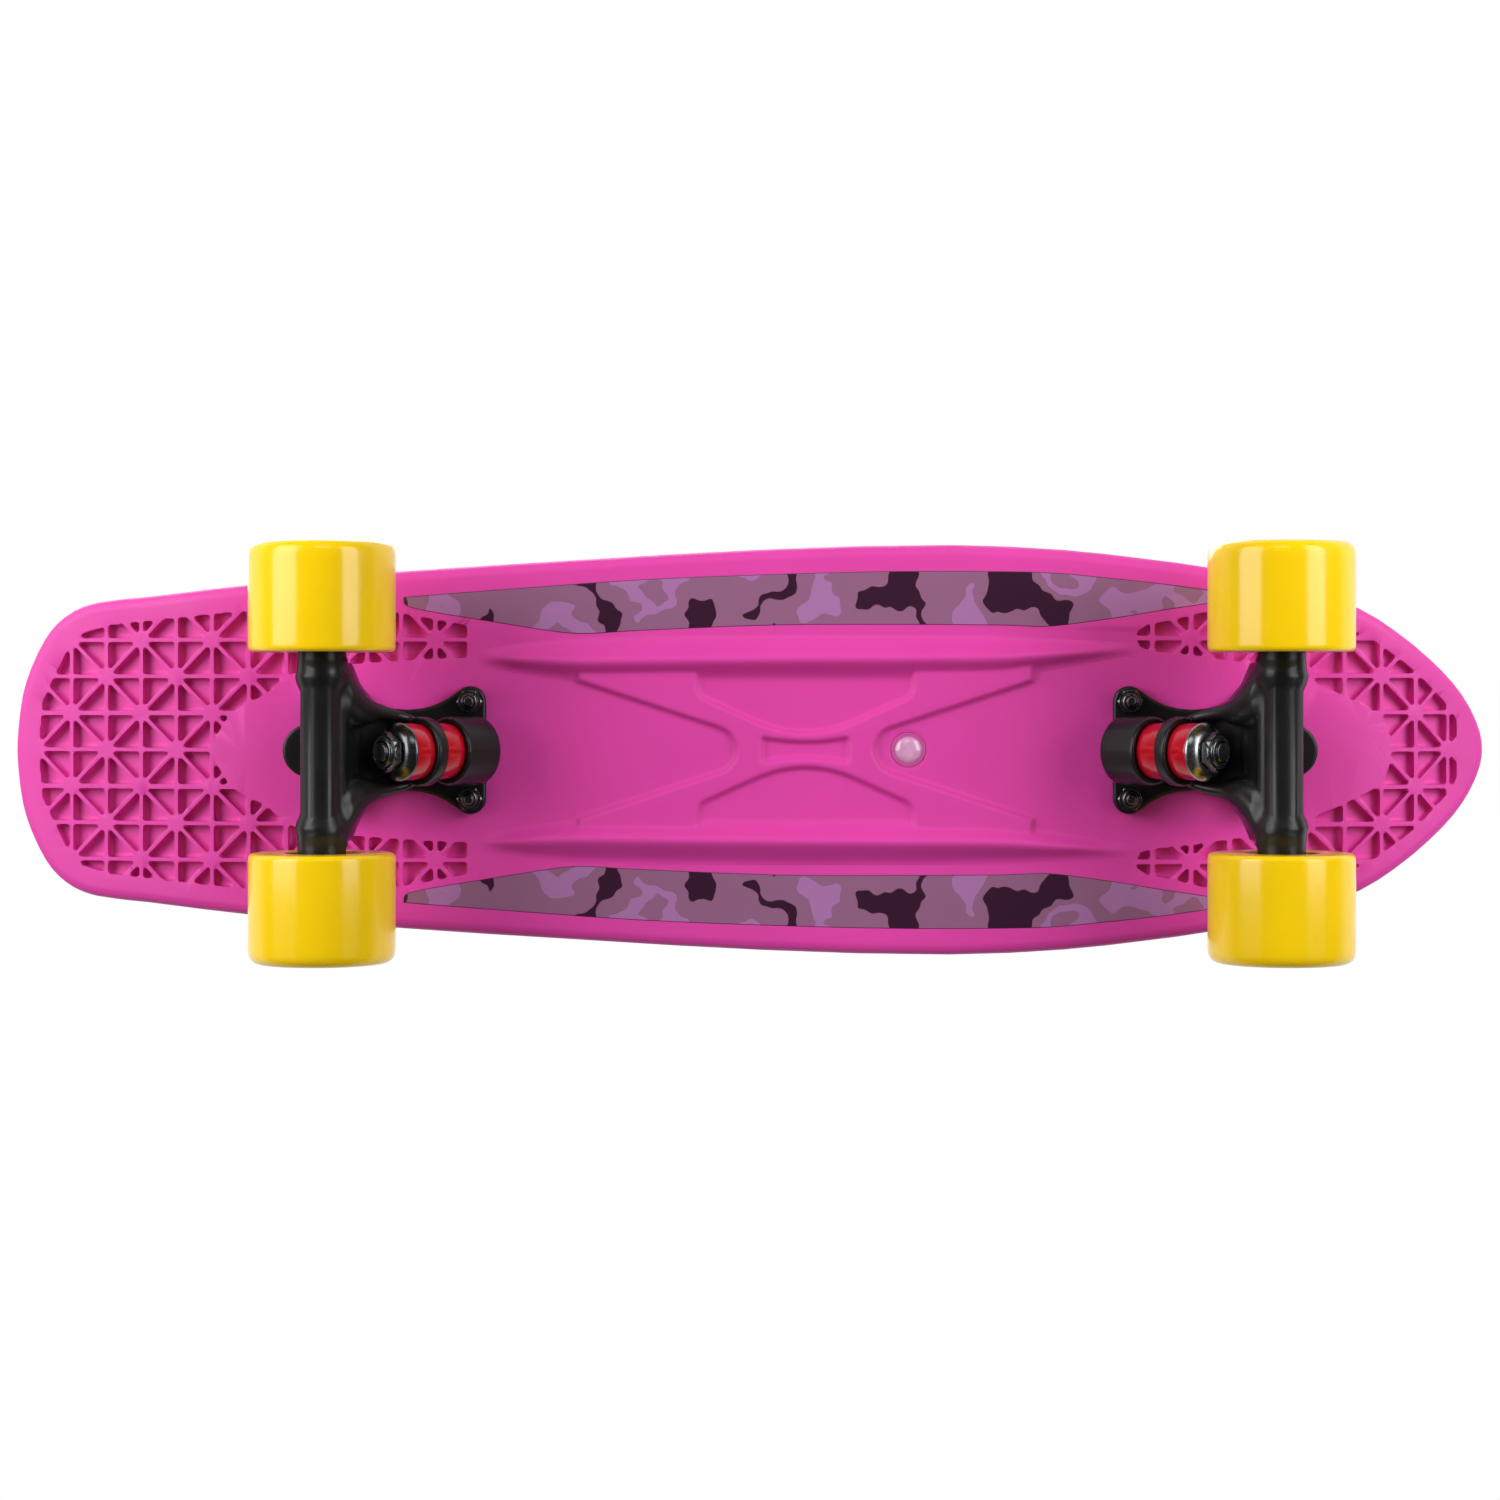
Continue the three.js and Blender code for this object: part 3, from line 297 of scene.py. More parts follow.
class StageSettings(bpy.types.PropertyGroup):
    """Strengths of the lamps and the colour of the floor."""

    floor: colour_setting("Floor", "#F2F2F2", "Colour of the pale floor")
    key: power_setting("Key lamp", 1.6, "Power of the key lamp")
    glint: power_setting("Softboxes", 34.0, "Power of a side softbox")
    fill: power_setting("Fill", 1.6, "Power of a lamp beside an end")
    top: power_setting("Top lamp", 24.0, "Power of the top lamp")
    sky: FloatProperty(name="Sky", description="Strength of the light from above", default=0.6)
    ground: FloatProperty(
        name="Ground", description="Strength of the light from below", default=0.17)


def add_node(tree, kind, inputs=None, **settings):
    """Adds a node. Settings are its properties, and inputs are values or sockets to link."""
    node = tree.nodes.new(kind)
    for name, value in settings.items():
        setattr(node, name, value)
    for name, value in (inputs or {}).items():
        if isinstance(value, bpy.types.NodeSocket):
            tree.links.new(value, node.inputs[name])
        else:
            node.inputs[name].default_value = value
    return node


def outlet(tree, kind, inputs, **settings):
    """Adds a node and returns its first output."""
    return add_node(tree, kind, inputs, **settings).outputs[0]


def empty_tree(owner):
    """The node tree of a new material or world, without its first nodes."""
    owner.use_nodes = True
    owner.node_tree.nodes.clear()
    return owner.node_tree


def new_material(name, **constants):
    """A material with one shader whose constant values are set on its own sockets."""
    material = bpy.data.materials.new(name)
    tree = empty_tree(material)
    shader = add_node(tree, "ShaderNodeBsdfPrincipled")
    for socket, value in constants.items():
        shader.inputs[socket.replace("_", " ")].default_value = value
    add_node(tree, "ShaderNodeOutputMaterial", {"Surface": shader.outputs["BSDF"]})
    place = add_node(tree, "ShaderNodeTexCoord").outputs["Object"]
    return material, tree, shader, place


def wandering(tree, place, patch_mm, low, high, **noise_inputs):
    """A value that wanders from low to high in patches of a real size."""
    noise = add_node(tree, "ShaderNodeTexNoise", {
        "Vector": place, "Scale": 1 / (patch_mm * MM), **noise_inputs})
    return add_node(tree, "ShaderNodeMapRange", {
        "Value": noise.outputs[0], "From Min": 0.3, "From Max": 0.7,
        "To Min": low, "To Max": high}).outputs[0]


def drift(tree, shader, place, colour, patch_mm, amount):
    """Lets the colour drift a little lighter and darker in patches of a real size."""
    value = wandering(tree, place, patch_mm, 1 - amount, 1 + amount, Detail=4.0)
    tint = add_node(tree, "ShaderNodeHueSaturation", {"Value": value, "Color": colour})
    tree.links.new(tint.outputs[0], shader.inputs["Base Color"])


def uneven_gloss(tree, shader, place, patch_mm, low, high):
    """Lets the roughness wander between two values, as handled surfaces do."""
    value = wandering(tree, place, patch_mm, low, high, Detail=5.0, Roughness=0.6)
    tree.links.new(value, shader.inputs["Roughness"])


def grain(tree, shader, place, grain_mm, depth_mm, strength=1.0):
    """Raises a fine grain of a real size and depth."""
    noise = add_node(tree, "ShaderNodeTexNoise", {
        "Vector": place, "Scale": 1 / (grain_mm * MM), "Detail": 3.0})
    bump = add_node(tree, "ShaderNodeBump", {
        "Height": noise.outputs[0], "Distance": depth_mm * MM, "Strength": strength})
    tree.links.new(bump.outputs[0], shader.inputs["Normal"])


def moulded_polypropylene():
    """Injection-moulded polypropylene: satin, slightly deep in colour, with a fine tool grain."""
    settings = bpy.context.scene.deck_settings
    material, tree, shader, place = new_material(
        "moulded_polypropylene", IOR=1.49, Specular_IOR_Level=0.4, Subsurface_Weight=0.08,
        Subsurface_Radius=(0.004, 0.0015, 0.003))
    drift(tree, shader, place, tuple(settings.plastic), patch_mm=60, amount=0.03)
    uneven_gloss(tree, shader, place, patch_mm=25, low=0.48, high=0.58)
    grain(tree, shader, place, grain_mm=0.9, depth_mm=0.03)
    return material


def printed_vinyl_film():
    """Printed vinyl film under a clear laminate: semi-gloss, with blotches in three plum tones."""
    settings = bpy.context.scene.deck_settings
    material, tree, shader, place = new_material(
        "printed_vinyl_film", IOR=1.5, Roughness=0.32, Coat_Weight=0.15, Coat_Roughness=0.15)
    # The two strips mirror each other, so the print is laid out by the distance from the middle
    parts = add_node(tree, "ShaderNodeSeparateXYZ", {0: place}).outputs
    across = outlet(tree, "ShaderNodeMath", {0: parts[1]}, operation="ABSOLUTE")
    folded = outlet(tree, "ShaderNodeCombineXYZ", {0: parts[0], 1: across})
    wavy = add_node(tree, "ShaderNodeTexNoise", {
        "Vector": folded, "Scale": 1 / (11 * MM), "Detail": 1.0})
    bend = outlet(tree, "ShaderNodeVectorMath", {
        0: wavy.outputs["Color"], 1: (14 * MM, 14 * MM, 0.0)}, operation="MULTIPLY")
    warped = outlet(tree, "ShaderNodeVectorMath", {0: folded, 1: bend}, operation="ADD")
    patches = outlet(tree, "ShaderNodeTexNoise", {
        "Vector": warped, "Scale": 1 / (30 * MM), "Detail": 1.0, "Roughness": 0.4})
    steps = add_node(tree, "ShaderNodeValToRGB", {0: patches})
    ramp = steps.color_ramp
    ramp.interpolation = "CONSTANT"
    ramp.elements[0].color = tuple(settings.film_dark)
    ramp.elements[1].position = 0.42
    ramp.elements[1].color = tuple(settings.film_middle)
    ramp.elements.new(0.56).color = tuple(settings.film_light)
    ramp.elements.new(0.66).color = tuple(settings.film_middle)
    # Flecks of about 2 mm, far apart
    flecks = add_node(tree, "ShaderNodeTexVoronoi", {
        "Vector": warped, "Scale": 1 / (15 * MM), "Randomness": 1.0})
    inside = outlet(tree, "ShaderNodeMath", {
        0: flecks.outputs["Distance"], 1: 0.075}, operation="LESS_THAN")
    # The film is drawn darker along its rim, where its edge vertices are marked
    rim = add_node(tree, "ShaderNodeAttribute", attribute_name="cut_edge").outputs["Fac"]
    dark = outlet(tree, "ShaderNodeMath", {0: inside, 1: rim}, operation="MAXIMUM")
    printed = add_node(tree, "ShaderNodeMix", {
        0: dark, 6: steps.outputs[0], 7: tuple(settings.film_dark)}, data_type="RGBA")
    tree.links.new(printed.outputs[2], shader.inputs["Base Color"])
    return material


def clear_doming_resin():
    """Cast clear resin over a silvery disc: very glossy, with the deck's pink seen in its rim."""
    material, tree, shader, place = new_material(
        "clear_doming_resin", IOR=1.5, Roughness=0.04, Coat_Weight=1.0, Coat_Roughness=0.02)
    low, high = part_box("badge")
    middle = ((low[0] + high[0]) / 2, 0, high[2])
    centred = add_node(tree, "ShaderNodeMapping", {"Vector": place, "Location": middle},
                       vector_type="TEXTURE")
    reach = add_node(tree, "ShaderNodeVectorMath", {0: centred.outputs[0]}, operation="LENGTH")
    zones = add_node(tree, "ShaderNodeMapRange", {
        "Value": reach.outputs["Value"], "From Min": 5.2 * MM, "From Max": 5.9 * MM})
    disc = add_node(tree, "ShaderNodeMix", {
        0: zones.outputs[0], 6: linear("#D79CC2"), 7: linear("#C4559B")}, data_type="RGBA")
    drift(tree, shader, place, disc.outputs[2], patch_mm=4, amount=0.1)
    return material


def powder_coated_alloy():
    """Cast alloy under black powder coat: satin, with the coat's faint orange peel."""
    settings = bpy.context.scene.truck_settings
    material, tree, shader, place = new_material("powder_coated_alloy", IOR=1.45)
    drift(tree, shader, place, tuple(settings.coat), patch_mm=12, amount=0.12)
    uneven_gloss(tree, shader, place, patch_mm=9, low=0.27, high=0.35)
    # Orange peel is about 1 mm from crest to crest and a few hundredths deep
    grain(tree, shader, place, grain_mm=1.1, depth_mm=0.02)
    return material


def cast_urethane(name, colour, low, high, glow):
    """Poured urethane: deep glossy colour with a little light carried under the surface."""
    material, tree, shader, place = new_material(
        name, IOR=1.5, Subsurface_Weight=glow, Subsurface_Radius=(0.004, 0.002, 0.001),
        Coat_Weight=0.1, Coat_Roughness=0.12)
    drift(tree, shader, place, colour, patch_mm=30, amount=0.02)
    uneven_gloss(tree, shader, place, patch_mm=14, low=low, high=high)
    return material


def plated_steel(name, code, low, high):
    """Machined steel, plated or oxidised: metallic, with turning marks too fine to count."""
    material, tree, shader, place = new_material(name, Metallic=1.0)
    drift(tree, shader, place, linear(code), patch_mm=3, amount=0.06)
    uneven_gloss(tree, shader, place, patch_mm=2, low=low, high=high)
    # Real turning marks of 0.05 mm wouldn't show, so they are drawn at 0.4 mm
    grain(tree, shader, place, grain_mm=0.4, depth_mm=0.0015)
    return material


# Steel slots: name of the finish, colour, and lowest and highest roughness
STEELS = {
    "steel": ("zinc_plated_steel", "#B7BABD", 0.22, 0.34),
    "bearing_steel": ("ground_bearing_steel", "#8E9194", 0.25, 0.38),
    "black_steel": ("black_oxide_steel", "#696B6E", 0.2, 0.3),
    "bright_steel": ("chrome_plated_steel", "#9B9DA0", 0.22, 0.3),
}


def material_of(slot):
    """The finish for one of the record's material slots, made when it is first asked for."""
    makers = {
        "deck_plastic": moulded_polypropylene,
        "printed_film": printed_vinyl_film,
        "clear_dome": clear_doming_resin,
        "black_casting": powder_coated_alloy,
        "red_urethane": lambda: cast_urethane(
            "red_cast_urethane", tuple(bpy.context.scene.truck_settings.bushing), 0.1, 0.16, 0.1),
        "black_urethane": lambda: cast_urethane(
            "black_moulded_urethane", linear("#232324"), 0.4, 0.5, 0.0),
        "yellow_urethane": lambda: cast_urethane(
            "yellow_cast_urethane", tuple(bpy.context.scene.wheel_settings.urethane),
            0.14, 0.19, 0.06),
    }
    known = bpy.context.scene.get("made_materials", {})
    if slot not in known:
        made = plated_steel(*STEELS[slot]) if slot in STEELS else makers[slot]()
        bpy.context.scene["made_materials"] = {**dict(known), slot: made.name}
        return made
    return bpy.data.materials[known[slot]]


def slot_of(node):
    """The record's material slot of a CAD node."""
    subparts = frame["record"]["subparts"]
    return next(part["material_slot"] for part in subparts if part["node"] == node)


def body_of(node):
    """The CAD body that a node rides on."""
    bodies = frame["record"]["behaviour"]["bodies"]
    return next(body for body, members in bodies.items() if node in members)


def new_object(name, mesh):
    """An object at the origin with this mesh."""
    obj = bpy.data.objects.new(name, mesh)
    bpy.context.scene.collection.objects.link(obj)
    return obj


def object_from(name, mesh):
    """An object from a mesh that is being worked on, which ends with this."""
    data = bpy.data.meshes.new(name)
    mesh.to_mesh(data)
    mesh.free()
    return new_object(name, data)


def add_modifier(obj, name, kind, **settings):
    """Adds a modifier with these settings."""
    modifier = obj.modifiers.new(name, kind)
    for key, value in settings.items():
        setattr(modifier, key, value)
    return modifier


def bake(obj):
    """Turns an object with live modifiers into one with a plain mesh."""
    graph = bpy.context.evaluated_depsgraph_get()
    mesh = bpy.data.meshes.new_from_object(obj.evaluated_get(graph))
    obj.modifiers.clear()
    obj.data = mesh
    return mesh


def smooth(mesh, degrees=35):
    """Shades a mesh smooth, apart from edges sharper than an angle."""
    mesh.shade_smooth()
    mesh.set_sharp_from_angle(angle=math.radians(degrees))


def dress(obj, node, bends=None):
    """Gives a piece its finish and lets it stand for its CAD node. It rides where that rides,
    unless bends are given; then its place is only baked into its mesh.
    """
    obj.data.materials.clear()
    obj.data.materials.append(material_of(slot_of(node)))
    if bends:
        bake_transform(obj)
    else:
        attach(obj, body_of(node))
    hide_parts(node)


def rounded(corners, closed, steps):
    """Rounds each corner (radius, height, rounding[, flats]) of a profile into a short arc."""
    points = []
    for i, (radius, height, rounding, *flats) in enumerate(corners):
        here = Vector((radius, height))
        flats = flats[0] if flats else 0.0
        at_end = not closed and i in (0, len(corners) - 1)
        if rounding <= 0 or at_end:
            points.append((*here, flats))
            continue
        before = Vector(corners[i - 1][:2]) - here
        after = Vector(corners[(i + 1) % len(corners)][:2]) - here
        near = here + before.normalized() * min(rounding, before.length * 0.48)
        far = here + after.normalized() * min(rounding, after.length * 0.48)
        for step in range(steps + 1):
            share = step / steps
            point = near * (1 - share) ** 2 + here * 2 * share * (1 - share) + far * share ** 2
            points.append((*point, flats))
    return points


def turned(name, corners, place, closed=False, sides=72, steps=4):
    """Turns a profile round its own Z and puts it in place. Flats cut a ring to a hexagon."""
    mesh = bmesh.new()
    rings = []
    for radius, height, flats in rounded(corners, closed, steps):
        ring = []
        for i in range(sides if radius > 1e-6 else 1):
            angle = 2 * math.pi * i / sides
            reach = radius
            if flats:
                reach = min(radius, flats / 2 / math.cos(angle % (math.pi / 3) - math.pi / 6))
            point = Vector((reach * math.cos(angle), reach * math.sin(angle), height))
            ring.append(mesh.verts.new((place @ point) * MM))
        rings.append(ring)
    pairs = list(zip(rings, rings[1:]))
    if closed:
        pairs.append((rings[-1], rings[0]))
    for near, far in pairs:
        for i in range(sides):
            j = (i + 1) % sides
            ring = [near[i % len(near)], near[j % len(near)], far[j % len(far)], far[i % len(far)]]
            ring = list(dict.fromkeys(ring))
            if len(ring) > 2:
                mesh.faces.new(ring)
    bmesh.ops.recalc_face_normals(mesh, faces=mesh.faces)
    obj = object_from(name, mesh)
    smooth(obj.data)
    return obj


def merged_copy(node):
    """A merged copy of a CAD node's mesh, ready to be worked on."""
    mesh = bmesh.new()
    mesh.from_mesh(frame["nodes"][node].data)
    bmesh.ops.remove_doubles(mesh, verts=mesh.verts, dist=0.02 * MM)
    return mesh


def axle_middle(end):
    """An axle's place along X and Z in mm."""
    low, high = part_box(f"{end}_axle")
    return (low[0] + high[0]) / 2 / MM, (low[2] + high[2]) / 2 / MM


def truck_place(end):
    """The truck's own frame in mm: X inboard, the origin above the axle at the deck's underside."""
    axle_x, axle_z = axle_middle(end)
    turn = Matrix.Rotation(math.pi if end == "nose" else 0.0, 4, "Z")
    return Matrix.Translation((axle_x, 0, axle_z + AXLE_DROP)) @ turn


def kingpin_place(end, height=0.0):
    """The frame along a kingpin in mm: its Z runs from the housing's mouth towards the road."""
    mouth = Matrix.Translation((MOUTH_X, 0, -MOUTH_DROP))
    tilt = Matrix.Rotation(math.pi + KINGPIN_TILT, 4, "Y")
    return truck_place(end) @ mouth @ tilt @ Matrix.Translation((0, 0, height))


def wheel_place(end, side, height=0.0):
    """The frame of a wheel in mm: its Z runs outwards along the axle from the inner face."""
    axle_x, axle_z = axle_middle(end)
    hub = (axle_x, SIDES[side] * INNER_FACE, axle_z)
    turn = Matrix.Rotation(-SIDES[side] * math.pi / 2, 4, "X")
    return Matrix.Translation(hub) @ turn @ Matrix.Translation((0, 0, height))


def lock_nut(name, flats, height, collar, bore, place):
    """A lock nut: a hexagon with turned-down corners and a round collar on its far side."""
    across = flats / math.sqrt(3)
    chamfer = (across - flats / 2) * 0.6
    inside = flats / 2 * 0.98
    round_top = max(flats / 2 - collar * 0.7, bore + 0.9)
    return turned(name, [
        (bore, 0.4, 0.2), (bore + 0.4, 0, 0.1), (inside, 0, 0.1, flats),
        (across + 0.1, chamfer, 0.1, flats), (across + 0.1, height - collar - chamfer, 0.1, flats),
        (inside, height - collar, 0.1, flats), (round_top, height - collar, 0.1),
        (round_top, height - 0.5, 0.5), (round_top - 0.7, height, 0.2),
        (bore + 0.1, height, 0.1), (bore, height - 0.6, 0.2),
    ], place, closed=True, steps=3)


def threaded(radius, low, high, pitch, depth):
    """A run of thread crests and roots along a rod, as profile corners."""
    corners = []
    for i in range(int((high - low) / pitch)):
        corners.append((radius - depth, low + i * pitch, 0))
        corners.append((radius, low + (i + 0.5) * pitch, 0.08))
    return corners


def mirrored(corners, ends):
    """A profile's corners and their mirror images, where both ends' heights add up to ends."""
    return [*corners, *((radius, ends - at, turn) for radius, at, turn in reversed(corners))]


def on_deck(shares):
    """Places on the deck in mm from shares of its half length and half width."""
    return [(DECK_MIDDLE + x * DECK_HALF_LENGTH, y * DECK_HALF_WIDTH) for x, y in shares]


def underside():
    """The height of the deck's underside in mm."""
    return axle_middle("tail")[1] + AXLE_DROP


def rim_distance(x, y):
    """How far each place on the flat deck is from the deck's outline, in mm."""
    corners = np.array([tuple(at) for at in eased(on_deck(OUTLINE), 4, closed=False)])
    nearest = np.full(len(x), np.inf)
    for (ax, ay), (bx, by) in zip(corners, corners[1:]):
        dx, dy = bx - ax, by - ay
        share = np.clip(((x - ax) * dx + (np.abs(y) - ay) * dy) / (dx * dx + dy * dy), 0, 1)
        nearest = np.minimum(nearest, np.hypot(x - ax - share * dx, np.abs(y) - ay - share * dy))
    return nearest


def straightened(x, z, bend):
    """Undoes a bend of the deck's end, for points in mm above the underside."""
    sign, start, radius, angle = bend
    out = sign * x - start
    turn = np.arctan2(out, radius - z)
    on_arc = turn <= angle
    past_x = out - radius * math.sin(angle)
    past_z = z - radius * (1 - math.cos(angle))
    straight = past_x * math.cos(angle) + past_z * math.sin(angle)
    arc_height = radius - np.hypot(out, radius - z)
    end_height = past_z * math.cos(angle) - past_x * math.sin(angle)
    along = np.where(on_arc, radius * turn, radius * angle + straight)
    bent = turn > 0
    height = np.where(on_arc, arc_height, end_height)
    return np.where(bent, sign * (start + along), x), np.where(bent, height, z)


def curved(x, z, bend):
    """Bends the deck's end up: an arc of one radius, then straight on."""
    sign, start, radius, angle = bend
    past = np.maximum(sign * x - start, 0)
    turn = np.minimum(past / radius, angle)
    straight = past - radius * turn
    out = start + radius * np.sin(turn) + straight * np.cos(turn) - z * np.sin(turn)
    up = radius * (1 - np.cos(turn)) + straight * np.sin(turn) + z * np.cos(turn)
    return np.where(past > 0, sign * out, x), np.where(past > 0, up, z)


def places_of(mesh):
    """A mesh's points in mm, as an array."""
    places = np.empty(len(mesh.vertices) * 3, dtype=np.float32)
    mesh.vertices.foreach_get("co", places)
    return places.reshape(-1, 3).astype(float) / MM


def set_places(mesh, places):
    """Moves a mesh's points to places in mm."""
    mesh.vertices.foreach_set("co", (places * MM).astype(np.float32).ravel())
    mesh.update()


def make_deck():
    """Makes the deck moulding without its relief and film seats, flat first and then bent."""
    settings = bpy.context.scene.deck_settings
    flat = underside()
    obj = object_from("deck_moulding", merged_copy("deck"))
    places = places_of(obj.data)
    x, y, z = places[:, 0], places[:, 1], places[:, 2] - flat
    for bend in (TAIL_BEND, NOSE_BEND):
        x, z = straightened(x, z, bend)
    low_x, high_x = (on_deck([row[:2]])[0][0] for row in (RIDGE_ROWS[0], RIDGE_ROWS[-1]))
    film_x = [at[0] for at in on_deck(FILM_OUTLINE)]
    raised = (x > low_x - 3) & (x < high_x + 3) & (np.abs(y) < RELIEF_HALF) & (z < -0.01)
    beside = (np.abs(y) > FILM_FIELD[0]) & (np.abs(y) < FILM_FIELD[1])
    sunk = (z > SEAT_DEPTHS[0]) & (z < SEAT_DEPTHS[1])
    seat = (x > min(film_x) - 2) & (x < max(film_x) + 2) & beside & sunk
    z = np.where(raised | seat, 0, z)
    set_places(obj.data, np.stack([x, y, z], axis=1))

    voxel = settings.voxel * 1
    add_modifier(obj, "Moulded skin", "REMESH", mode="VOXEL", voxel_size=voxel * MM)
    bake(obj)
    places = places_of(obj.data)
    rim = rim_distance(places[:, 0], places[:, 1])
    group = obj.vertex_groups.new(name="rim")
    group.add([int(i) for i in np.flatnonzero(rim < DECK_RIM)], 1.0, "REPLACE")
    for name, rounds, zone in (("Rounded ribs", 2, ""), ("Rounded rim", 30, "rim")):
        add_modifier(obj, name, "SMOOTH", factor=0.5, iterations=rounds, vertex_group=zone)
    ratio = min(1.0, DECK_TRIANGLES / 2 / len(obj.data.polygons))
    add_modifier(obj, "Fewer faces", "DECIMATE", ratio=ratio)
    bake(obj)
    obj.vertex_groups.clear()
    places = places_of(obj.data)
    x, y, z = places[:, 0], places[:, 1], places[:, 2]
    # The pockets' walls stand back a little, which makes the ribs between them slimmer
    wall = np.clip(z / 0.4 + 1, 0, 1) * np.clip((POCKET_DEPTH - z) / 0.5, 0, 1)
    beside_trucks = (np.abs(y) > LATTICE_SIDE) | (x < LATTICE_TAIL) | (x > LATTICE_NOSE)
    wall *= (rim_distance(x, y) > LATTICE_INSET) & beside_trucks
    normals = np.empty(len(places) * 3)
    obj.data.vertex_normals.foreach_get("vector", normals)
    x, y = (at - RIB_SLIMMING * wall * way for at, way in zip((x, y), normals.reshape(-1, 3).T))
    for bend in (TAIL_BEND, NOSE_BEND):
        x, z = curved(x, z, bend)
    set_places(obj.data, np.stack([x, y, z + flat], axis=1))
    smooth(obj.data, 70)
    dress(obj, "deck")
    return obj


def blurred(field, cells):
    """A grid of heights softened by a bell curve that is a few cells wide."""
    reach = math.ceil(cells * 3)
    steps = np.arange(-reach, reach + 1)
    kernel = np.exp(-0.5 * (steps / cells) ** 2)
    kernel /= kernel.sum()
    for axis in range(field.ndim):
        field = np.apply_along_axis(np.convolve, axis, field, kernel, mode="same")
    return field


def blunt_max(first, second, rounding):
    """The larger of two distances, rounded where they meet."""
    near = np.clip(0.5 + 0.5 * (first - second) / rounding, 0, 1)
    return second + (first - second) * near + rounding * near * (1 - near)


def soft_step(value):
    """Runs from 0 to 1 in an S as the value runs from -1 to 1."""
    share = np.clip(value / 2 + 0.5, 0, 1)
    return share * share * (3 - 2 * share)


def cross_heights(x, y):
    """Heights of the raised cross, from the distance to the edge of each of its cutouts."""
    along, across = np.abs(x - CROSS_MIDDLE), np.abs(y)
    lean = math.hypot(1, NOTCH_SLOPE)
    tangent = NOTCH_CENTRE - NOTCH_RADIUS * NOTCH_SLOPE / lean
    wedge = (across - NOTCH_SLOPE * (along - NOTCH_CENTRE)) / lean - NOTCH_RADIUS
    end = np.hypot(along - NOTCH_CENTRE, across) - NOTCH_RADIUS
    notch = np.where(along > tangent, wedge, end)
    bow = POCKET_TOP + POCKET_BOW * np.minimum(along, POCKET_STRAIGHT) ** 2
    bow += 2 * POCKET_BOW * POCKET_STRAIGHT * np.maximum(along - POCKET_STRAIGHT, 0)
    pocket = blunt_max((bow - across) * 0.92, along - POCKET_HALF, 4.0)
    flare = WINDOW_WAIST + WINDOW_FLARE * (along / WINDOW_HALF) ** 2
    window = blunt_max(across - flare, along - WINDOW_HALF, 1.8)
    inside = np.minimum(np.minimum(notch, pocket), np.minimum(window, CROSS_REACH - along))
    return CROSS_HEIGHT * soft_step(inside / CROSS_EDGE)


def make_ridges():
    """Makes the underside's two ridges and raised cross as one soft moulded relief."""
    rows = np.array(RIDGE_ROWS)
    rows[:, 0] = DECK_MIDDLE + rows[:, 0] * DECK_HALF_LENGTH
    rows[:, 1:4] *= DECK_HALF_WIDTH
    margin, padding = 3.0, 40
    across = np.arange(-RELIEF_HALF, RELIEF_HALF + 0.01, PANEL_CELL)
    along = np.arange(rows[0, 0] - margin, rows[-1, 0] + margin, PANEL_CELL)
    padded = np.arange(along[0] - padding, along[-1] + padding, PANEL_CELL)
    start = int(round(padding / PANEL_CELL))

    def softened(column, cells):
        whole = blurred(np.interp(padded, rows[:, 0], rows[:, column]), cells)
        return whole[start:start + len(along), None]

    outer, crest, inner = (softened(column, RIDGE_EASE) for column in (1, 2, 3))
    rise = softened(4, RISE_EASE)
    y = np.abs(across)[None, :]
    slope_out = (outer - y) / np.maximum(outer - crest - RIDGE_CREST_HALF, 0.4)
    slope_in = (y - inner) / np.maximum(crest - RIDGE_CREST_HALF - inner, 0.4)
    ridge = RIDGE_HEIGHT * rise * np.clip(np.minimum(slope_out, slope_in), 0, 1)
    cross = np.where(y < crest, cross_heights(along[:, None], across[None, :]), 0)
    heights = blurred(np.maximum(blurred(ridge, RIDGE_BLUR), cross), PANEL_BLUR)

    low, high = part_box("badge")
    badge_x, badge_reach = ((low[0] + high[0]) / 2 / MM, (high[0] - low[0]) / 2 / MM + 0.8)
    hidden = np.hypot(along[:, None] - badge_x, across[None, :]) < badge_reach
    flat = underside()
    levels = np.where(hidden, flat + 0.5, flat - PANEL_PROUD - heights)
    middle = np.abs(along[:, None] - CROSS_MIDDLE) < CROSS_REACH + 2
    kept = (y < outer + PANEL_MARGIN) & (middle | (y > inner - PANEL_MARGIN))

    mesh = bmesh.new()
    verts = {}
    for i, j in np.argwhere(kept[:-1, :-1] & kept[1:, :-1] & kept[:-1, 1:] & kept[1:, 1:]):
        ring = []
        for corner in ((i, j), (i, j + 1), (i + 1, j + 1), (i + 1, j)):
            if corner not in verts:
                place = Vector((along[corner[0]], across[corner[1]], levels[corner])) * MM
                verts[corner] = mesh.verts.new(place)
            ring.append(verts[corner])
        mesh.faces.new(ring)
    rim = [edge for edge in mesh.edges if edge.is_boundary]
    made = bmesh.ops.extrude_edge_only(mesh, edges=rim)["geom"]
    for item in made:
        if isinstance(item, bmesh.types.BMVert):
            item.co.z += PANEL_SKIRT * MM
    bmesh.ops.holes_fill(mesh, edges=[edge for edge in mesh.edges if edge.is_boundary], sides=0)
    bmesh.ops.recalc_face_normals(mesh, faces=mesh.faces)
    obj = object_from("deck_ridges", mesh)
    smooth(obj.data, 60)
    obj.data.materials.append(material_of("deck_plastic"))
    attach(obj, "deck")


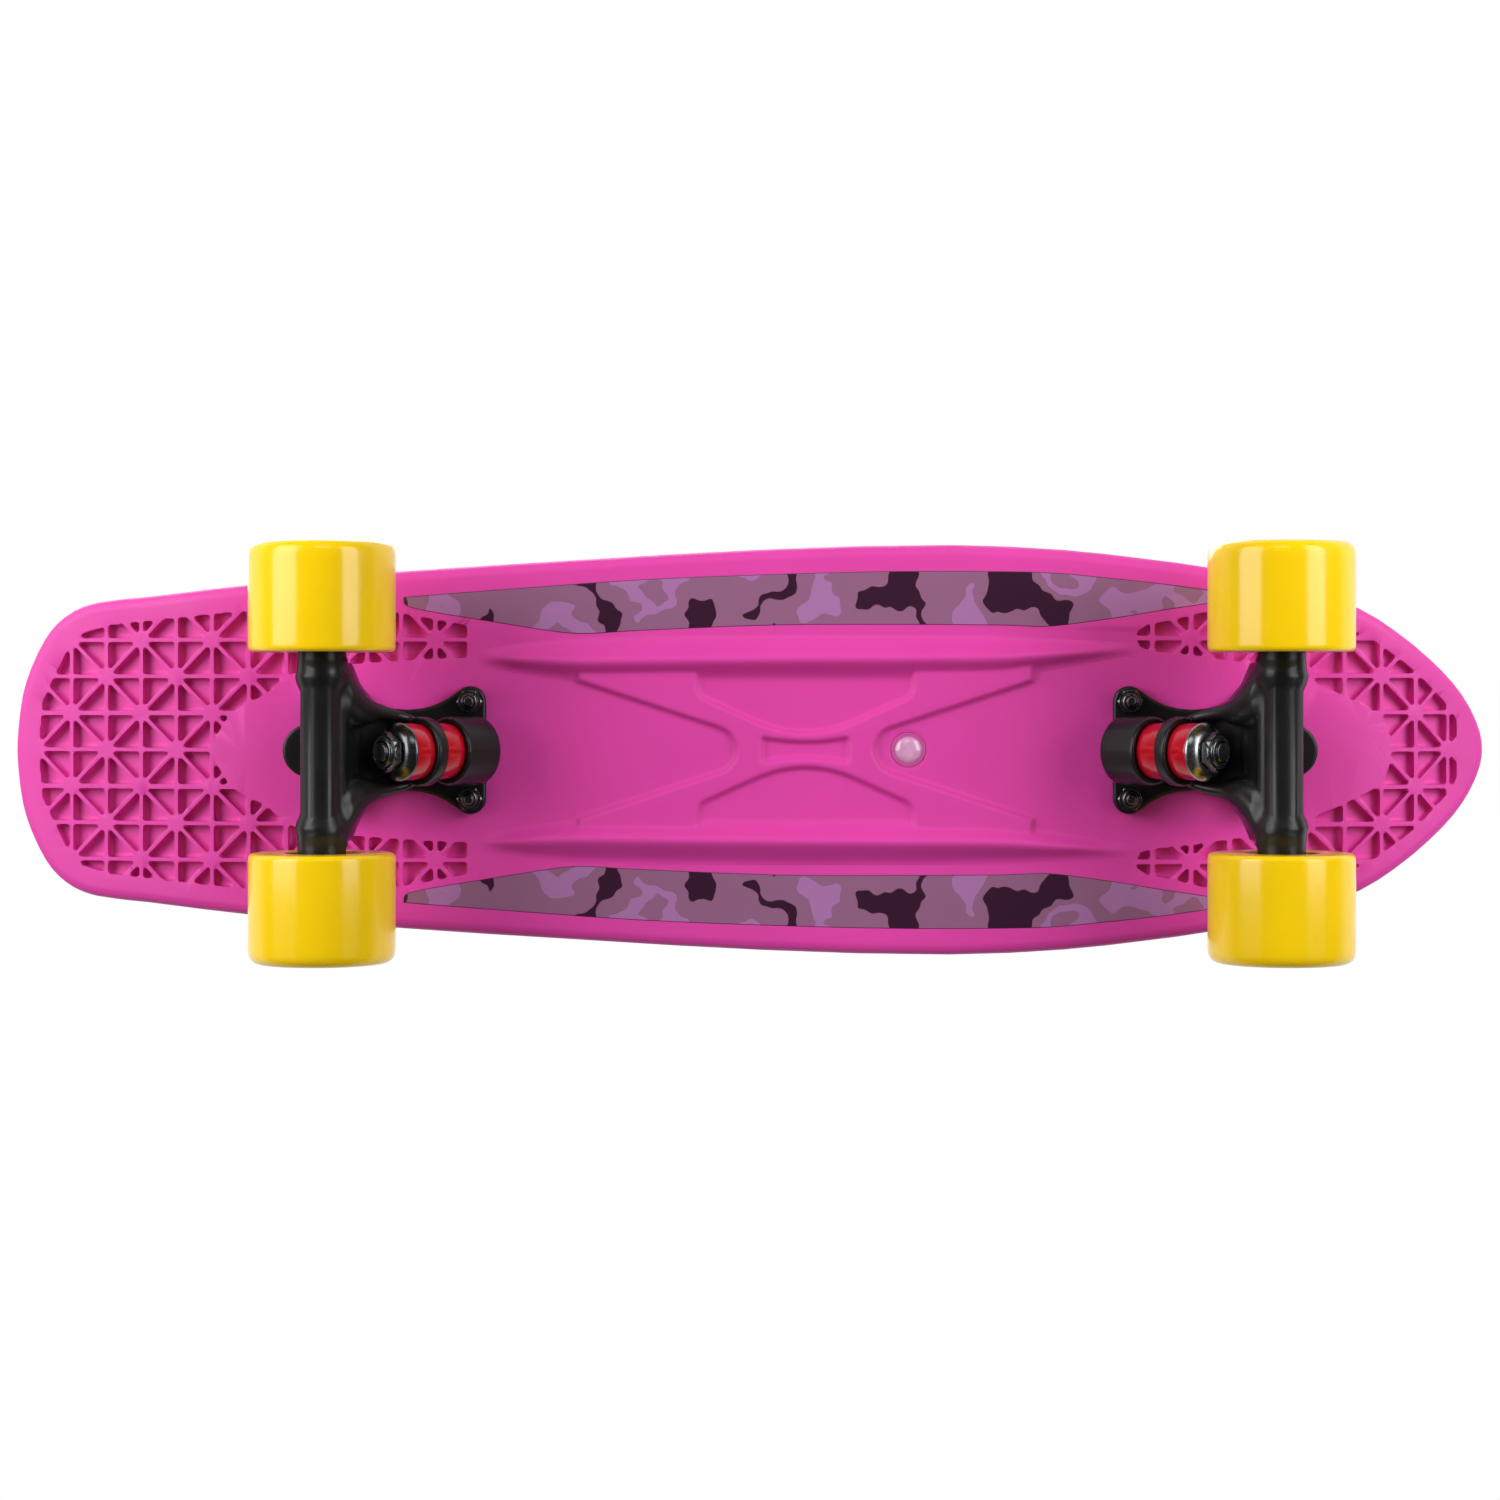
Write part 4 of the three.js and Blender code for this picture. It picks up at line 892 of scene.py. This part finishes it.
def eased(points, steps, closed):
    """A smooth curve through points of any number of values."""
    count = len(points)
    rows = [Vector(point) for point in points]
    pick = (lambda i: rows[i % count]) if closed else (lambda i: rows[min(max(i, 0), count - 1)])
    curve = []
    for i in range(count if closed else count - 1):
        before, near, far, after = (pick(i + k) for k in (-1, 0, 1, 2))
        for step in range(steps):
            t = step / steps
            curve.append(0.5 * (
                2 * near + (far - before) * t + (2 * before - 5 * near + 4 * far - after) * t ** 2
                + (3 * near - before - 3 * far + after) * t ** 3))
    return curve if closed else [*curve, rows[-1]]


def film_columns():
    """Columns across a film strip: X, its slope's length, and its two edges in Y, in mm."""
    outline = [tuple(at) for at in eased(on_deck(FILM_OUTLINE), 8, closed=True)]
    low, high = min(at[0] for at in outline), max(at[0] for at in outline)
    columns = []
    for i in range(FILM_COLUMNS + 1):
        share = (1 - math.cos(math.pi * i / FILM_COLUMNS)) / 2
        x = low + FILM_TIP + (high - low - 2 * FILM_TIP) * share
        found = []
        for (ax, ay), (bx, by) in zip(outline, [*outline[1:], outline[0]]):
            if (ax <= x) != (bx <= x):
                slope = (by - ay) / (bx - ax)
                found.append((ay + slope * (x - ax), math.hypot(1, slope)))
        columns.append((x, min(found), max(found)))
    return columns


def make_film(side):
    """Makes a printed film strip: a thin plate drawn darker along its edge, flush with the deck."""
    mesh = bmesh.new()
    edge = mesh.verts.layers.float.new("cut_edge")
    flat = underside()
    rings = []
    for x, (low, low_slope), (high, high_slope) in film_columns():
        ring = []
        for inset, height, mark in FILM_SECTION:
            ring.append((low + min(inset * low_slope, (high - low) * 0.45), height, mark))
        for inset, height, mark in reversed(FILM_SECTION):
            ring.append((high - min(inset * high_slope, (high - low) * 0.45), height, mark))
        verts = []
        for y, height, mark in ring:
            vert = mesh.verts.new(Vector((x, y * SIDES[side], flat + height)) * MM)
            vert[edge] = mark
            verts.append(vert)
        rings.append(verts)
    for near, far in zip(rings, rings[1:]):
        for i, vert in enumerate(near):
            j = (i + 1) % len(near)
            mesh.faces.new([vert, near[j], far[j], far[i]])
    mesh.faces.new(rings[0])
    mesh.faces.new(rings[-1])
    bmesh.ops.recalc_face_normals(mesh, faces=mesh.faces)
    film = object_from(f"{side}_printed_film", mesh)
    smooth(film.data, 4)
    dress(film, f"{side}_film_strip")


def pip_tree():
    """Geometry nodes: a grid of pips dropped on the deck's top, clear of its rim and bolts."""
    settings = bpy.context.scene.deck_settings
    tree = bpy.data.node_groups.new("Grip pips", "GeometryNodeTree")
    sockets = (
        ("Deck", "NodeSocketObject", None), ("Pitch", "NodeSocketFloat", settings.pip_pitch * MM),
        ("Pip radius", "NodeSocketFloat", settings.pip_radius * MM),
        ("Pip height", "NodeSocketFloat", settings.pip_height * MM),
        ("Length", "NodeSocketFloat", PIP_FIELD[0]), ("Width", "NodeSocketFloat", PIP_FIELD[1]),
        ("Bolt clearance", "NodeSocketFloat", 8 * MM), ("Finish", "NodeSocketMaterial", None),
    )
    for name, kind, value in sockets:
        socket = tree.interface.new_socket(name, in_out="INPUT", socket_type=kind)
        if value is not None:
            socket.default_value = value
    tree.interface.new_socket("Geometry", in_out="OUTPUT", socket_type="NodeSocketGeometry")
    given = add_node(tree, "NodeGroupInput").outputs

    maths, logic = "ShaderNodeMath", "FunctionNodeBooleanMath"
    sizes = {}
    for axis, extent in (("X", "Length"), ("Y", "Width")):
        ratio = outlet(tree, maths, {0: given[extent], 1: given["Pitch"]}, operation="DIVIDE")
        count = outlet(tree, maths, {0: ratio}, operation="FLOOR")
        size = outlet(tree, maths, {0: count, 1: given["Pitch"]}, operation="MULTIPLY")
        sizes[f"Size {axis}"] = size
        sizes[f"Vertices {axis}"] = outlet(tree, maths, {0: count, 1: 1}, operation="ADD")
    grid = add_node(tree, "GeometryNodeMeshGrid", sizes)
    deck = add_node(tree, "GeometryNodeObjectInfo", {"Object": given["Deck"]})
    position = add_node(tree, "GeometryNodeInputPosition").outputs[0]

    def dropped(spread):
        scaled = outlet(tree, "ShaderNodeVectorMath", {0: position, 1: (*spread, 0)},
                        operation="MULTIPLY")
        above = outlet(tree, "ShaderNodeVectorMath", {0: scaled, 1: (0, 0, PIP_DROP)},
                       operation="ADD")
        return add_node(tree, "GeometryNodeRaycast", {
            "Target Geometry": deck.outputs["Geometry"], "Source Position": above,
            "Ray Direction": (0, 0, -1), "Ray Length": PIP_DROP + 0.1})

    landed = dropped((1, 1))
    rim = dropped(PIP_RIM)
    upward = add_node(tree, "ShaderNodeSeparateXYZ", {0: landed.outputs["Hit Normal"]}).outputs[2]
    level = outlet(tree, maths, {0: upward, 1: PIP_UPWARD}, operation="GREATER_THAN")
    tests = [landed.outputs["Is Hit"], rim.outputs["Is Hit"], level]
    place = add_node(tree, "ShaderNodeSeparateXYZ", {0: position}).outputs

    def off_nearer(value, middle, half):
        """How far a coordinate is from the nearer of two lines on both sides of a middle."""
        for shift in (middle, half):
            gap = outlet(tree, maths, {0: value, 1: shift}, operation="SUBTRACT")
            value = outlet(tree, maths, {0: gap}, operation="ABSOLUTE")
        return value

    off_row = off_nearer(place[1], 0.0, BOLT_SPACING_Y / 2 * MM)
    for end in ENDS:
        middle = truck_place(end) @ Vector((BOLT_ROW_X + BOLT_SPACING_X / 2, 0, 0))
        off_line = off_nearer(place[0], middle.x * MM, BOLT_SPACING_X / 2 * MM)
        farther = outlet(tree, maths, {0: off_row, 1: off_line}, operation="MAXIMUM")
        tests.append(outlet(tree, maths, {0: farther, 1: given["Bolt clearance"]},
                            operation="GREATER_THAN"))
    keep = tests[0]
    for test in tests[1:]:
        keep = outlet(tree, logic, {0: keep, 1: test}, operation="AND")
    lost = outlet(tree, logic, {0: keep}, operation="NOT")
    kept = add_node(tree, "GeometryNodeDeleteGeometry", {
        "Geometry": grid.outputs["Mesh"], "Selection": lost}, domain="POINT")
    settled = add_node(tree, "GeometryNodeSetPosition", {
        "Geometry": kept.outputs[0], "Position": landed.outputs["Hit Position"]})
    tip = outlet(tree, maths, {0: given["Pip radius"], 1: PIP_TAPER}, operation="MULTIPLY")
    pip = add_node(tree, "GeometryNodeMeshCone", {
        "Vertices": 10, "Radius Bottom": given["Pip radius"], "Radius Top": tip,
        "Depth": given["Pip height"]})
    turn = outlet(tree, "FunctionNodeAlignRotationToVector", {
        "Vector": landed.outputs["Hit Normal"]}, axis="Z")
    pips = add_node(tree, "GeometryNodeInstanceOnPoints", {
        "Points": settled.outputs[0], "Instance": pip.outputs["Mesh"],
        "Rotation": turn})
    real = add_node(tree, "GeometryNodeRealizeInstances", {0: pips.outputs[0]})
    finished = add_node(tree, "GeometryNodeSetMaterial", {
        "Geometry": real.outputs[0], "Material": given["Finish"]})
    add_node(tree, "NodeGroupOutput", {"Geometry": finished.outputs[0]})
    return tree


def make_pips(deck):
    """Covers the deck's top with grip pips."""
    tree = pip_tree()
    obj = new_object("deck_grip_pips", bpy.data.meshes.new("deck_grip_pips"))
    modifier = add_modifier(obj, "Grip pips", "NODES", node_group=tree)
    names = {item.name: item.identifier for item in tree.interface.items_tree}
    modifier[names["Deck"]] = deck
    modifier[names["Finish"]] = material_of("deck_plastic")
    bake(obj)
    if not obj.data.polygons:
        raise RuntimeError("no grip pip landed on the deck")
    smooth(obj.data, 30)
    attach(obj, "deck")


def add_tube(mesh, path, place, sides=24):
    """Adds a closed round tube to a mesh, along a path of places and radii."""
    path = eased(path, 4, closed=False)
    rings = []
    for i, point in enumerate(path):
        before, after = path[max(i - 1, 0)], path[min(i + 1, len(path) - 1)]
        along = (after - before).to_3d().normalized()
        side = along.cross(Vector((0, 0, 1))).normalized()
        up = side.cross(along)
        turns = [2 * math.pi * k / sides for k in range(sides)]
        ring = [point.to_3d() + (side * math.cos(a) + up * math.sin(a)) * point[3] for a in turns]
        rings.append([mesh.verts.new((place @ at) * MM) for at in ring])
    made = [mesh.faces.new(rings[0]), mesh.faces.new(rings[-1])]
    for near, far in zip(rings, rings[1:]):
        for i in range(sides):
            j = (i + 1) % sides
            made.append(mesh.faces.new([near[i], near[j], far[j], far[i]]))
    bmesh.ops.recalc_face_normals(mesh, faces=made)


def shoulder(end):
    """What a hanger's casting has besides the CAD solid: arms that swell out of the tube."""
    def add(mesh):
        axle = truck_place(end) @ Matrix.Translation((0, 0, -AXLE_DROP))
        add_tube(mesh, WEB_PATH, axle)
        for path in (ARM_PATH, FLANK_PATH):
            for side in SIDES.values():
                add_tube(mesh, [(x, side * y, z, radius) for x, y, z, radius in path], axle)
    return add


def narrow_tube(obj, end):
    """Rounds a hanger's tube, and draws it in between its shoulders."""
    axle = truck_place(end) @ Matrix.Translation((0, 0, -AXLE_DROP))
    back = axle.inverted()

    def ease(value, start, stop):
        share = min(max((value - start) / (stop - start), 0), 1)
        return share * share * (3 - 2 * share)

    for vert in obj.data.vertices:
        x, y, z = back @ (vert.co / MM)
        reach = math.hypot(x, z)
        weight = ease(reach, *TUBE_FADE) * (1.0 if x < 0 else ease(z, *ROAD_SIDE_FADE))
        if weight > 0 and reach > 6:
            middle = ease(abs(y), TUBE_WAIST_TO, TUBE_WAIST_FROM)
            waist = reach / math.hypot(x / TUBE_WAIST, z / TUBE_RADIUS)
            full = TUBE_RADIUS + SHOULDER_RISE * ease(abs(abs(y) - SHOULDER_PLACE), 7, 0)
            target = full + (waist - full) * middle
            factor = 1 + (min(target / reach, 1) - 1) * weight
            vert.co = (axle @ Vector((x * factor, y, z * factor))) * MM


def cast_skin(node, voxel, add=None):
    """The mesh of a casting: the CAD solid with soft cast fillets along all its edges."""
    mesh = merged_copy(node)
    if add:
        add(mesh)
    obj = object_from(f"{node}_casting", mesh)
    add_modifier(obj, "Cast skin", "REMESH", mode="VOXEL", voxel_size=voxel * MM)
    add_modifier(obj, "Cast fillets", "SMOOTH", factor=0.5, iterations=FILLET_ROUNDS)
    add_modifier(obj, "Fewer faces", "DECIMATE", ratio=CAST_SHARE_KEPT)
    bake(obj)
    obj.data.shade_smooth()
    return obj


def make_bolts(end):
    """Makes a truck's four mounting bolts, with hexagon sockets, and their lock nuts."""
    place = truck_place(end)
    turn = Matrix.Rotation(math.pi, 4, "X")
    top = DECK_THICKNESS
    rows = (BOLT_ROW_X, BOLT_ROW_X + BOLT_SPACING_X)
    places = [(x, y) for x in rows for y in (-BOLT_SPACING_Y / 2, BOLT_SPACING_Y / 2)]
    for number, (x, y) in enumerate(places, 1):
        bolt = turned(f"{end}_deck_bolt_{number}", [
            (0, top - 1.9, 0), (1.75, top - 1.9, 0.1, 3.0), (1.75, top - 0.1, 0.1, 3.0),
            (2.1, top, 0.1), (4.7, top, 0.25), (2.4, top - 2.7, 0.3),
            *reversed(threaded(2.4, top - 25.0, top - 6, 0.8, 0.35)),
            (1.8, top - 25.4, 0.3), (0, top - 25.4, 0),
        ], place @ Matrix.Translation((x, y, 0)), sides=36, steps=2)
        dress(bolt, f"{end}_mount_bolt_{number}")
        under = Matrix.Translation((x, y, -PLATE_THICKNESS - 0.6)) @ turn
        nut = lock_nut(f"{end}_deck_nut_{number}", 9.5, 5.4, 1.6, 2.5, place @ under)
        dress(nut, f"{end}_mount_nut_{number}")


def make_kingpin(end):
    """Makes a truck's kingpin with its nut, cup washer and two bushings."""
    place = kingpin_place(end)
    across = HEAD_FLATS / math.sqrt(3)
    neck = HEAD_SEAT - 0.3
    kingpin = turned(f"{end}_kingpin_bolt", [
        (0, neck - HEAD_HEIGHT, 0), (HEAD_FLATS / 2 * 0.95, neck - HEAD_HEIGHT, 0.3, HEAD_FLATS),
        (across, neck - HEAD_HEIGHT + 1, 0.3, HEAD_FLATS), (across, neck, 0.2, HEAD_FLATS),
        (KINGPIN_RADIUS, neck, 0.3),
        *threaded(KINGPIN_RADIUS, WASHER_NEAR, KINGPIN_END - 0.9, 1.0, 0.45),
        (KINGPIN_RADIUS - 0.9, KINGPIN_END, 0.3), (0, KINGPIN_END, 0),
    ], place, steps=3)
    dress(kingpin, f"{end}_kingpin")
    nut = lock_nut(f"{end}_kingpin_lock_nut", HEAD_FLATS, NUT_HEIGHT, 1.6, KINGPIN_RADIUS - 0.1,
                   kingpin_place(end, NUT_NEAR) @ Matrix.Rotation(math.pi / 2, 4, "Z"))
    dress(nut, f"{end}_kingpin_nut")
    near, far = WASHER_NEAR, WASHER_FAR
    washer = turned(f"{end}_cup_washer", [
        (5.0, near + 0.3, 0.1), (10.6, near + 0.3, 0.6), (11.5, near - 0.6, 0.4),
        (12.2, near - 0.2, 0.3), (12.1, near + 0.8, 0.6), (10.6, far - 1.3, 1.2),
        (8.6, far - 0.05, 1.2), (5.0, far, 0.3),
    ], place, closed=True, sides=96)
    dress(washer, f"{end}_road_washer")
    bushings = {
        "board": (-0.7, RING_NEAR + 0.7, 0.0, RING_NEAR),
        "road": (RING_FAR - 0.7, WASHER_NEAR, WASHER_NEAR, RING_FAR),
    }
    for side, (low, high, fixed, moving) in bushings.items():
        middle = (low + high) / 2
        bushing = turned(f"{end}_{side}_urethane_bushing", [
            (BUSHING_BORE, low, 0.2), (BUSHING_RADIUS - 0.3, low, 0.7),
            (BUSHING_RADIUS - 0.15, low + 1.6, 0.5), (BUSHING_RADIUS, middle, 1.5),
            (BUSHING_RADIUS - 0.15, high - 1.6, 0.5), (BUSHING_RADIUS - 0.3, high, 0.7),
            (BUSHING_BORE, high, 0.2),
        ], place, closed=True, sides=96)
        ends = [tuple((place @ Vector((0, 0, height))) * MM) for height in (fixed, moving)]
        dress(bushing, f"{end}_{side}_bushing", ("deck", f"{end}_hanger", ends[0], ends[1]))


def make_axle(end):
    """Makes an axle rod with threads under its nuts."""
    axle_x, axle_z = axle_middle(end)
    place = Matrix.Translation((axle_x, 0, axle_z)) @ Matrix.Rotation(math.pi / 2, 4, "X")
    threads = threaded(AXLE_RADIUS, INNER_FACE + SPEED_WASHER, AXLE_HALF - 0.8, 1.0, 0.4)
    half = [*threads, (AXLE_RADIUS - 0.8, AXLE_HALF, 0.3), (0, AXLE_HALF, 0)]
    axle = turned(f"{end}_axle_rod", mirrored(half[::-1], 0)[::-1], place, sides=48, steps=2)
    dress(axle, f"{end}_axle")


def make_wheel(end, side):
    """Makes one wheel, its two bearings, its speed washer and its axle nut."""
    settings = bpy.context.scene.wheel_settings
    place = wheel_place(end, side)
    label = f"{end}_{side}"
    seat = BEARING_RADIUS + 0.3
    wheel = turned(f"{label}_urethane_wheel", [
        (seat, BEARING_INSET - 1.6, 0.3), (CORE_RADIUS, BEARING_INSET - 1.6, 1.0), (15, 0, 0.8),
        (WHEEL_RADIUS, 0, settings.inner_lip), (WHEEL_RADIUS, WHEEL_WIDTH, settings.outer_lip),
        (19.5, WHEEL_WIDTH, 1.5), (15.2, WHEEL_WIDTH - 2.2, 1.2), (CORE_RADIUS, CORE_END, 1.0),
        (seat, CORE_END, 0.3), (seat, CORE_STEPS[1], 0.1), (CORE_BORE, CORE_STEPS[1], 0.2),
        (CORE_BORE, CORE_STEPS[0], 0.2), (seat, CORE_STEPS[0], 0.1),
    ], place, closed=True, sides=128, steps=8)
    dress(wheel, f"{label}_wheel")
    for name, inset in (("inner", BEARING_INSET), ("outer", OUTER_BEARING)):
        bearing = turned(f"{label}_{name}_ball_bearing", mirrored(BEARING_HALF, BEARING_WIDTH),
                         wheel_place(end, side, inset), closed=True, steps=2)
        dress(bearing, f"{label}_{name}_bearing")
    washer = turned(f"{label}_thin_washer", [
        (4.0, 0, 0.1), (6.4, 0, 0.15), (6.4, 1, 0.25), (4.0, 1, 0.15),
    ], wheel_place(end, side, SPEED_WASHER), closed=True, steps=2)
    dress(washer, f"{label}_speed_washer")
    nut = lock_nut(f"{label}_axle_lock_nut", AXLE_NUT_FLATS, AXLE_NUT_HEIGHT, 2.6, AXLE_RADIUS,
                   wheel_place(end, side, AXLE_NUT))
    dress(nut, f"{label}_axle_nut")


def soft_lamp(name, place, aim, size, power, only_glints=False, no_glints=False):
    """A soft white lamp that points at a place, and may be seen only mirrored or never mirrored."""
    data = bpy.data.lights.new(name, "AREA")
    data.shape = "RECTANGLE"
    data.size, data.size_y = size
    data.energy = power
    lamp = bpy.data.objects.new(name, data)
    lamp.visible_diffuse = not only_glints
    lamp.visible_glossy = not no_glints
    bpy.context.scene.collection.objects.link(lamp)
    lamp.location = place
    lamp.rotation_euler = (Vector(aim) - Vector(place)).to_track_quat("-Z", "Y").to_euler()


def make_floor(settings):
    """A pale floor that is clear from below, so that the board can be seen from there."""
    mesh = bmesh.new()
    bmesh.ops.create_grid(mesh, x_segments=8, y_segments=8, size=FLOOR_HALF,
                          matrix=Matrix.Translation((0, 0, -FLOOR_GAP)))
    floor = object_from("pale_floor", mesh)
    floor.visible_shadow = floor.visible_diffuse = floor.visible_glossy = False
    material = bpy.data.materials.new("matt_paper_sweep")
    tree = empty_tree(material)
    lit = add_node(tree, "ShaderNodeBsdfDiffuse", {"Color": tuple(settings.floor)})
    # Most of its white is a painted glow: an emission, darkened by ambient occlusion into a painted
    # soft shadow near the board, so that little colour bounces onto it
    shade = add_node(tree, "ShaderNodeAmbientOcclusion", {
        "Color": tuple(settings.floor), "Distance": 0.3})
    painted_glow = add_node(tree, "ShaderNodeEmission", {"Color": shade.outputs[0]})
    paper = add_node(tree, "ShaderNodeMixShader", {0: 0.7, 1: lit.outputs[0], 2: painted_glow.outputs[0]})
    clear = add_node(tree, "ShaderNodeBsdfTransparent")
    behind = add_node(tree, "ShaderNodeNewGeometry").outputs["Backfacing"]
    mixed = add_node(tree, "ShaderNodeMixShader", {
        0: behind, 1: paper.outputs[0], 2: clear.outputs[0]})
    add_node(tree, "ShaderNodeOutputMaterial", {"Surface": mixed.outputs[0]})
    floor.data.materials.append(material)


def make_world(settings):
    """White to the camera, through glass and in mirrors above the floor, dimmer as a light."""
    world = bpy.data.worlds.new("white_room")
    tree = empty_tree(world)
    path = add_node(tree, "ShaderNodeLightPath").outputs
    seen = add_node(tree, "ShaderNodeMath", {
        0: path["Is Camera Ray"], 1: path["Is Transmission Ray"]}, operation="MAXIMUM")
    # The white backdrop fills the room's upper part, and below the floor mirrors see dark
    way = add_node(tree, "ShaderNodeTexCoord").outputs["Generated"]
    height = add_node(tree, "ShaderNodeSeparateXYZ", {0: way}).outputs[2]
    backdrop = add_node(tree, "ShaderNodeMapRange", {
        "Value": height, "From Min": -0.1, "From Max": 0.35, "To Min": 0.04, "To Max": 1.0},
        interpolation_type="SMOOTHSTEP")
    ambient = add_node(tree, "ShaderNodeMapRange", {
        "Value": height, "From Min": -0.2, "From Max": 0.3,
        "To Min": settings.ground, "To Max": settings.sky})
    mirrored = add_node(tree, "ShaderNodeMix", {
        0: path["Is Glossy Ray"], 2: ambient.outputs[0], 3: backdrop.outputs[0]}, data_type="FLOAT")
    strength = add_node(tree, "ShaderNodeMix", {
        0: seen.outputs[0], 2: mirrored.outputs[0], 3: 1.0}, data_type="FLOAT")
    light = add_node(tree, "ShaderNodeBackground", {
        "Color": (1, 1, 1, 1), "Strength": strength.outputs[0]})
    add_node(tree, "ShaderNodeOutputWorld", {"Surface": light.outputs[0]})
    bpy.context.scene.world = world


def make_camera():
    """The photograph's view: from below, square to the deck, with the nose to the right."""
    data = bpy.data.cameras.new("camera")
    data.lens, data.sensor_width = CAMERA_LENS, 36.0
    data.shift_y = CAMERA_SHIFT
    data.clip_start = 0.01
    camera = bpy.data.objects.new("camera", data)
    bpy.context.scene.collection.objects.link(camera)
    camera.location = CAMERA_PLACE
    camera.rotation_euler = (math.pi, 0, 0)
    bpy.context.scene.camera = camera


class SKATEBOARD_OT_deck(bpy.types.Operator):
    """Makes the deck moulding, its grip pips, its film strips and its badge"""

    bl_idname = "skateboard.deck"
    bl_label = "Deck"

    def execute(self, context):
        deck = make_deck()
        make_pips(deck)
        make_ridges()
        for side in SIDES:
            make_film(side)
        low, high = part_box("badge")
        middle = Vector(((low[0] + high[0]) / 2 / MM, 0, high[2] / MM))
        badge = turned("clear_badge_dome", [
            (0, -2.3, 0), (2.9, -2.2, 2.2), (5.0, -1.35, 0.9), (5.6, -0.75, 0.3), (6.6, -0.8, 0.3),
            (7.3, -0.75, 0.3), (7.3, 0, 0.1), (0, 0, 0),
        ], Matrix.Translation(middle), sides=96, steps=5)
        dress(badge, "badge")
        return {"FINISHED"}


class SKATEBOARD_OT_trucks(bpy.types.Operator):
    """Makes both trucks: castings, kingpins, bushings, axles and mounting hardware"""

    bl_idname = "skateboard.trucks"
    bl_label = "Trucks"

    def execute(self, context):
        voxel = context.scene.truck_settings.cast_voxel
        for end in ENDS:
            dress(cast_skin(f"{end}_base_plate", voxel), f"{end}_base_plate")
            hanger = cast_skin(f"{end}_hanger", voxel, shoulder(end))
            narrow_tube(hanger, end)
            dress(hanger, f"{end}_hanger")
            cup = frame["nodes"][f"{end}_pivot_cup"]
            cup.data.materials.clear()
            cup.data.materials.append(material_of("black_urethane"))
            make_bolts(end)
            make_kingpin(end)
            make_axle(end)
        return {"FINISHED"}


class SKATEBOARD_OT_wheels(bpy.types.Operator):
    """Makes the four wheels with their bearings, washers and nuts"""

    bl_idname = "skateboard.wheels"
    bl_label = "Wheels"

    def execute(self, context):
        for end in ENDS:
            for side in SIDES:
                make_wheel(end, side)
        return {"FINISHED"}


class SKATEBOARD_OT_stage(bpy.types.Operator):
    """Makes the floor, the lamps, the world and the camera"""

    bl_idname = "skateboard.stage"
    bl_label = "Stage"

    def execute(self, context):
        settings = context.scene.stage_settings
        make_floor(settings)
        make_world(settings)
        make_camera()
        soft_lamp("key_lamp", (0.0, -1.02, -1.15), (0, 0, 0.087), (0.6, 0.35), settings.key)
        # Softboxes to the left and right, whose bands run along the wheels and the axle tubes
        for name, x, z, width in (("tail", -1.66, -1.09, 1.4), ("nose", 1.53, -1.26, 1.0)):
            for part, middle, long, share in (("upper", -0.9, 2.0, 1.0), ("lower", 0.7, 1.2, 0.08)):
                power = settings.glint * share * width * long / SOFTBOX_AREA
                soft_lamp(f"{name}_{part}_softbox", (x, middle, z), (0, middle, 0.03),
                          (long, width), power, only_glints=part == "lower")
            # A small lamp low beside each end, which lights the deck round the truck
            end = math.copysign(1.0, x)
            soft_lamp(f"{name}_fill", (0.62 * end, -0.25, -0.25), (0.26 * end, 0, 0.087),
                      (0.3, 0.3), settings.fill, no_glints=True)
        soft_lamp("top_lamp", (-0.5, -0.9, 1.7), (0, 0, 0.08), (1.6, 1.2), settings.top)
        context.scene.view_settings.view_transform = "Standard"
        return {"FINISHED"}


class SKATEBOARD_PT_panel(bpy.types.Panel):
    """Lists the skateboard's pieces and their settings"""

    bl_idname = "SKATEBOARD_PT_panel"
    bl_label = "Skateboard"
    bl_space_type = "VIEW_3D"
    bl_region_type = "UI"
    bl_category = "Skateboard"

    def draw(self, context):
        for operator in OPERATORS:
            self.layout.operator(operator.bl_idname)
        for name in SETTINGS:
            box = self.layout.box()
            group = getattr(context.scene, name)
            for key in group.__annotations__:
                box.prop(group, key)


SETTINGS = {
    "deck_settings": DeckSettings,
    "truck_settings": TruckSettings,
    "wheel_settings": WheelSettings,
    "stage_settings": StageSettings,
}
OPERATORS = (SKATEBOARD_OT_deck, SKATEBOARD_OT_trucks, SKATEBOARD_OT_wheels, SKATEBOARD_OT_stage)


def register():
    """Registers the settings, the operators and the panel."""
    for name, group in SETTINGS.items():
        bpy.utils.register_class(group)
        setattr(bpy.types.Scene, name, PointerProperty(type=group))
    for operator in OPERATORS:
        bpy.utils.register_class(operator)
    bpy.utils.register_class(SKATEBOARD_PT_panel)


def unregister():
    """Removes what register added."""
    bpy.utils.unregister_class(SKATEBOARD_PT_panel)
    for operator in reversed(OPERATORS):
        bpy.utils.unregister_class(operator)
    for name, group in SETTINGS.items():
        delattr(bpy.types.Scene, name)
        bpy.utils.unregister_class(group)


def main():
    """Builds the whole board and its stage."""
    register()
    bpy.ops.skateboard.deck()
    bpy.ops.skateboard.trucks()
    bpy.ops.skateboard.wheels()
    bpy.ops.skateboard.stage()


if __name__ == "__main__":
    main()
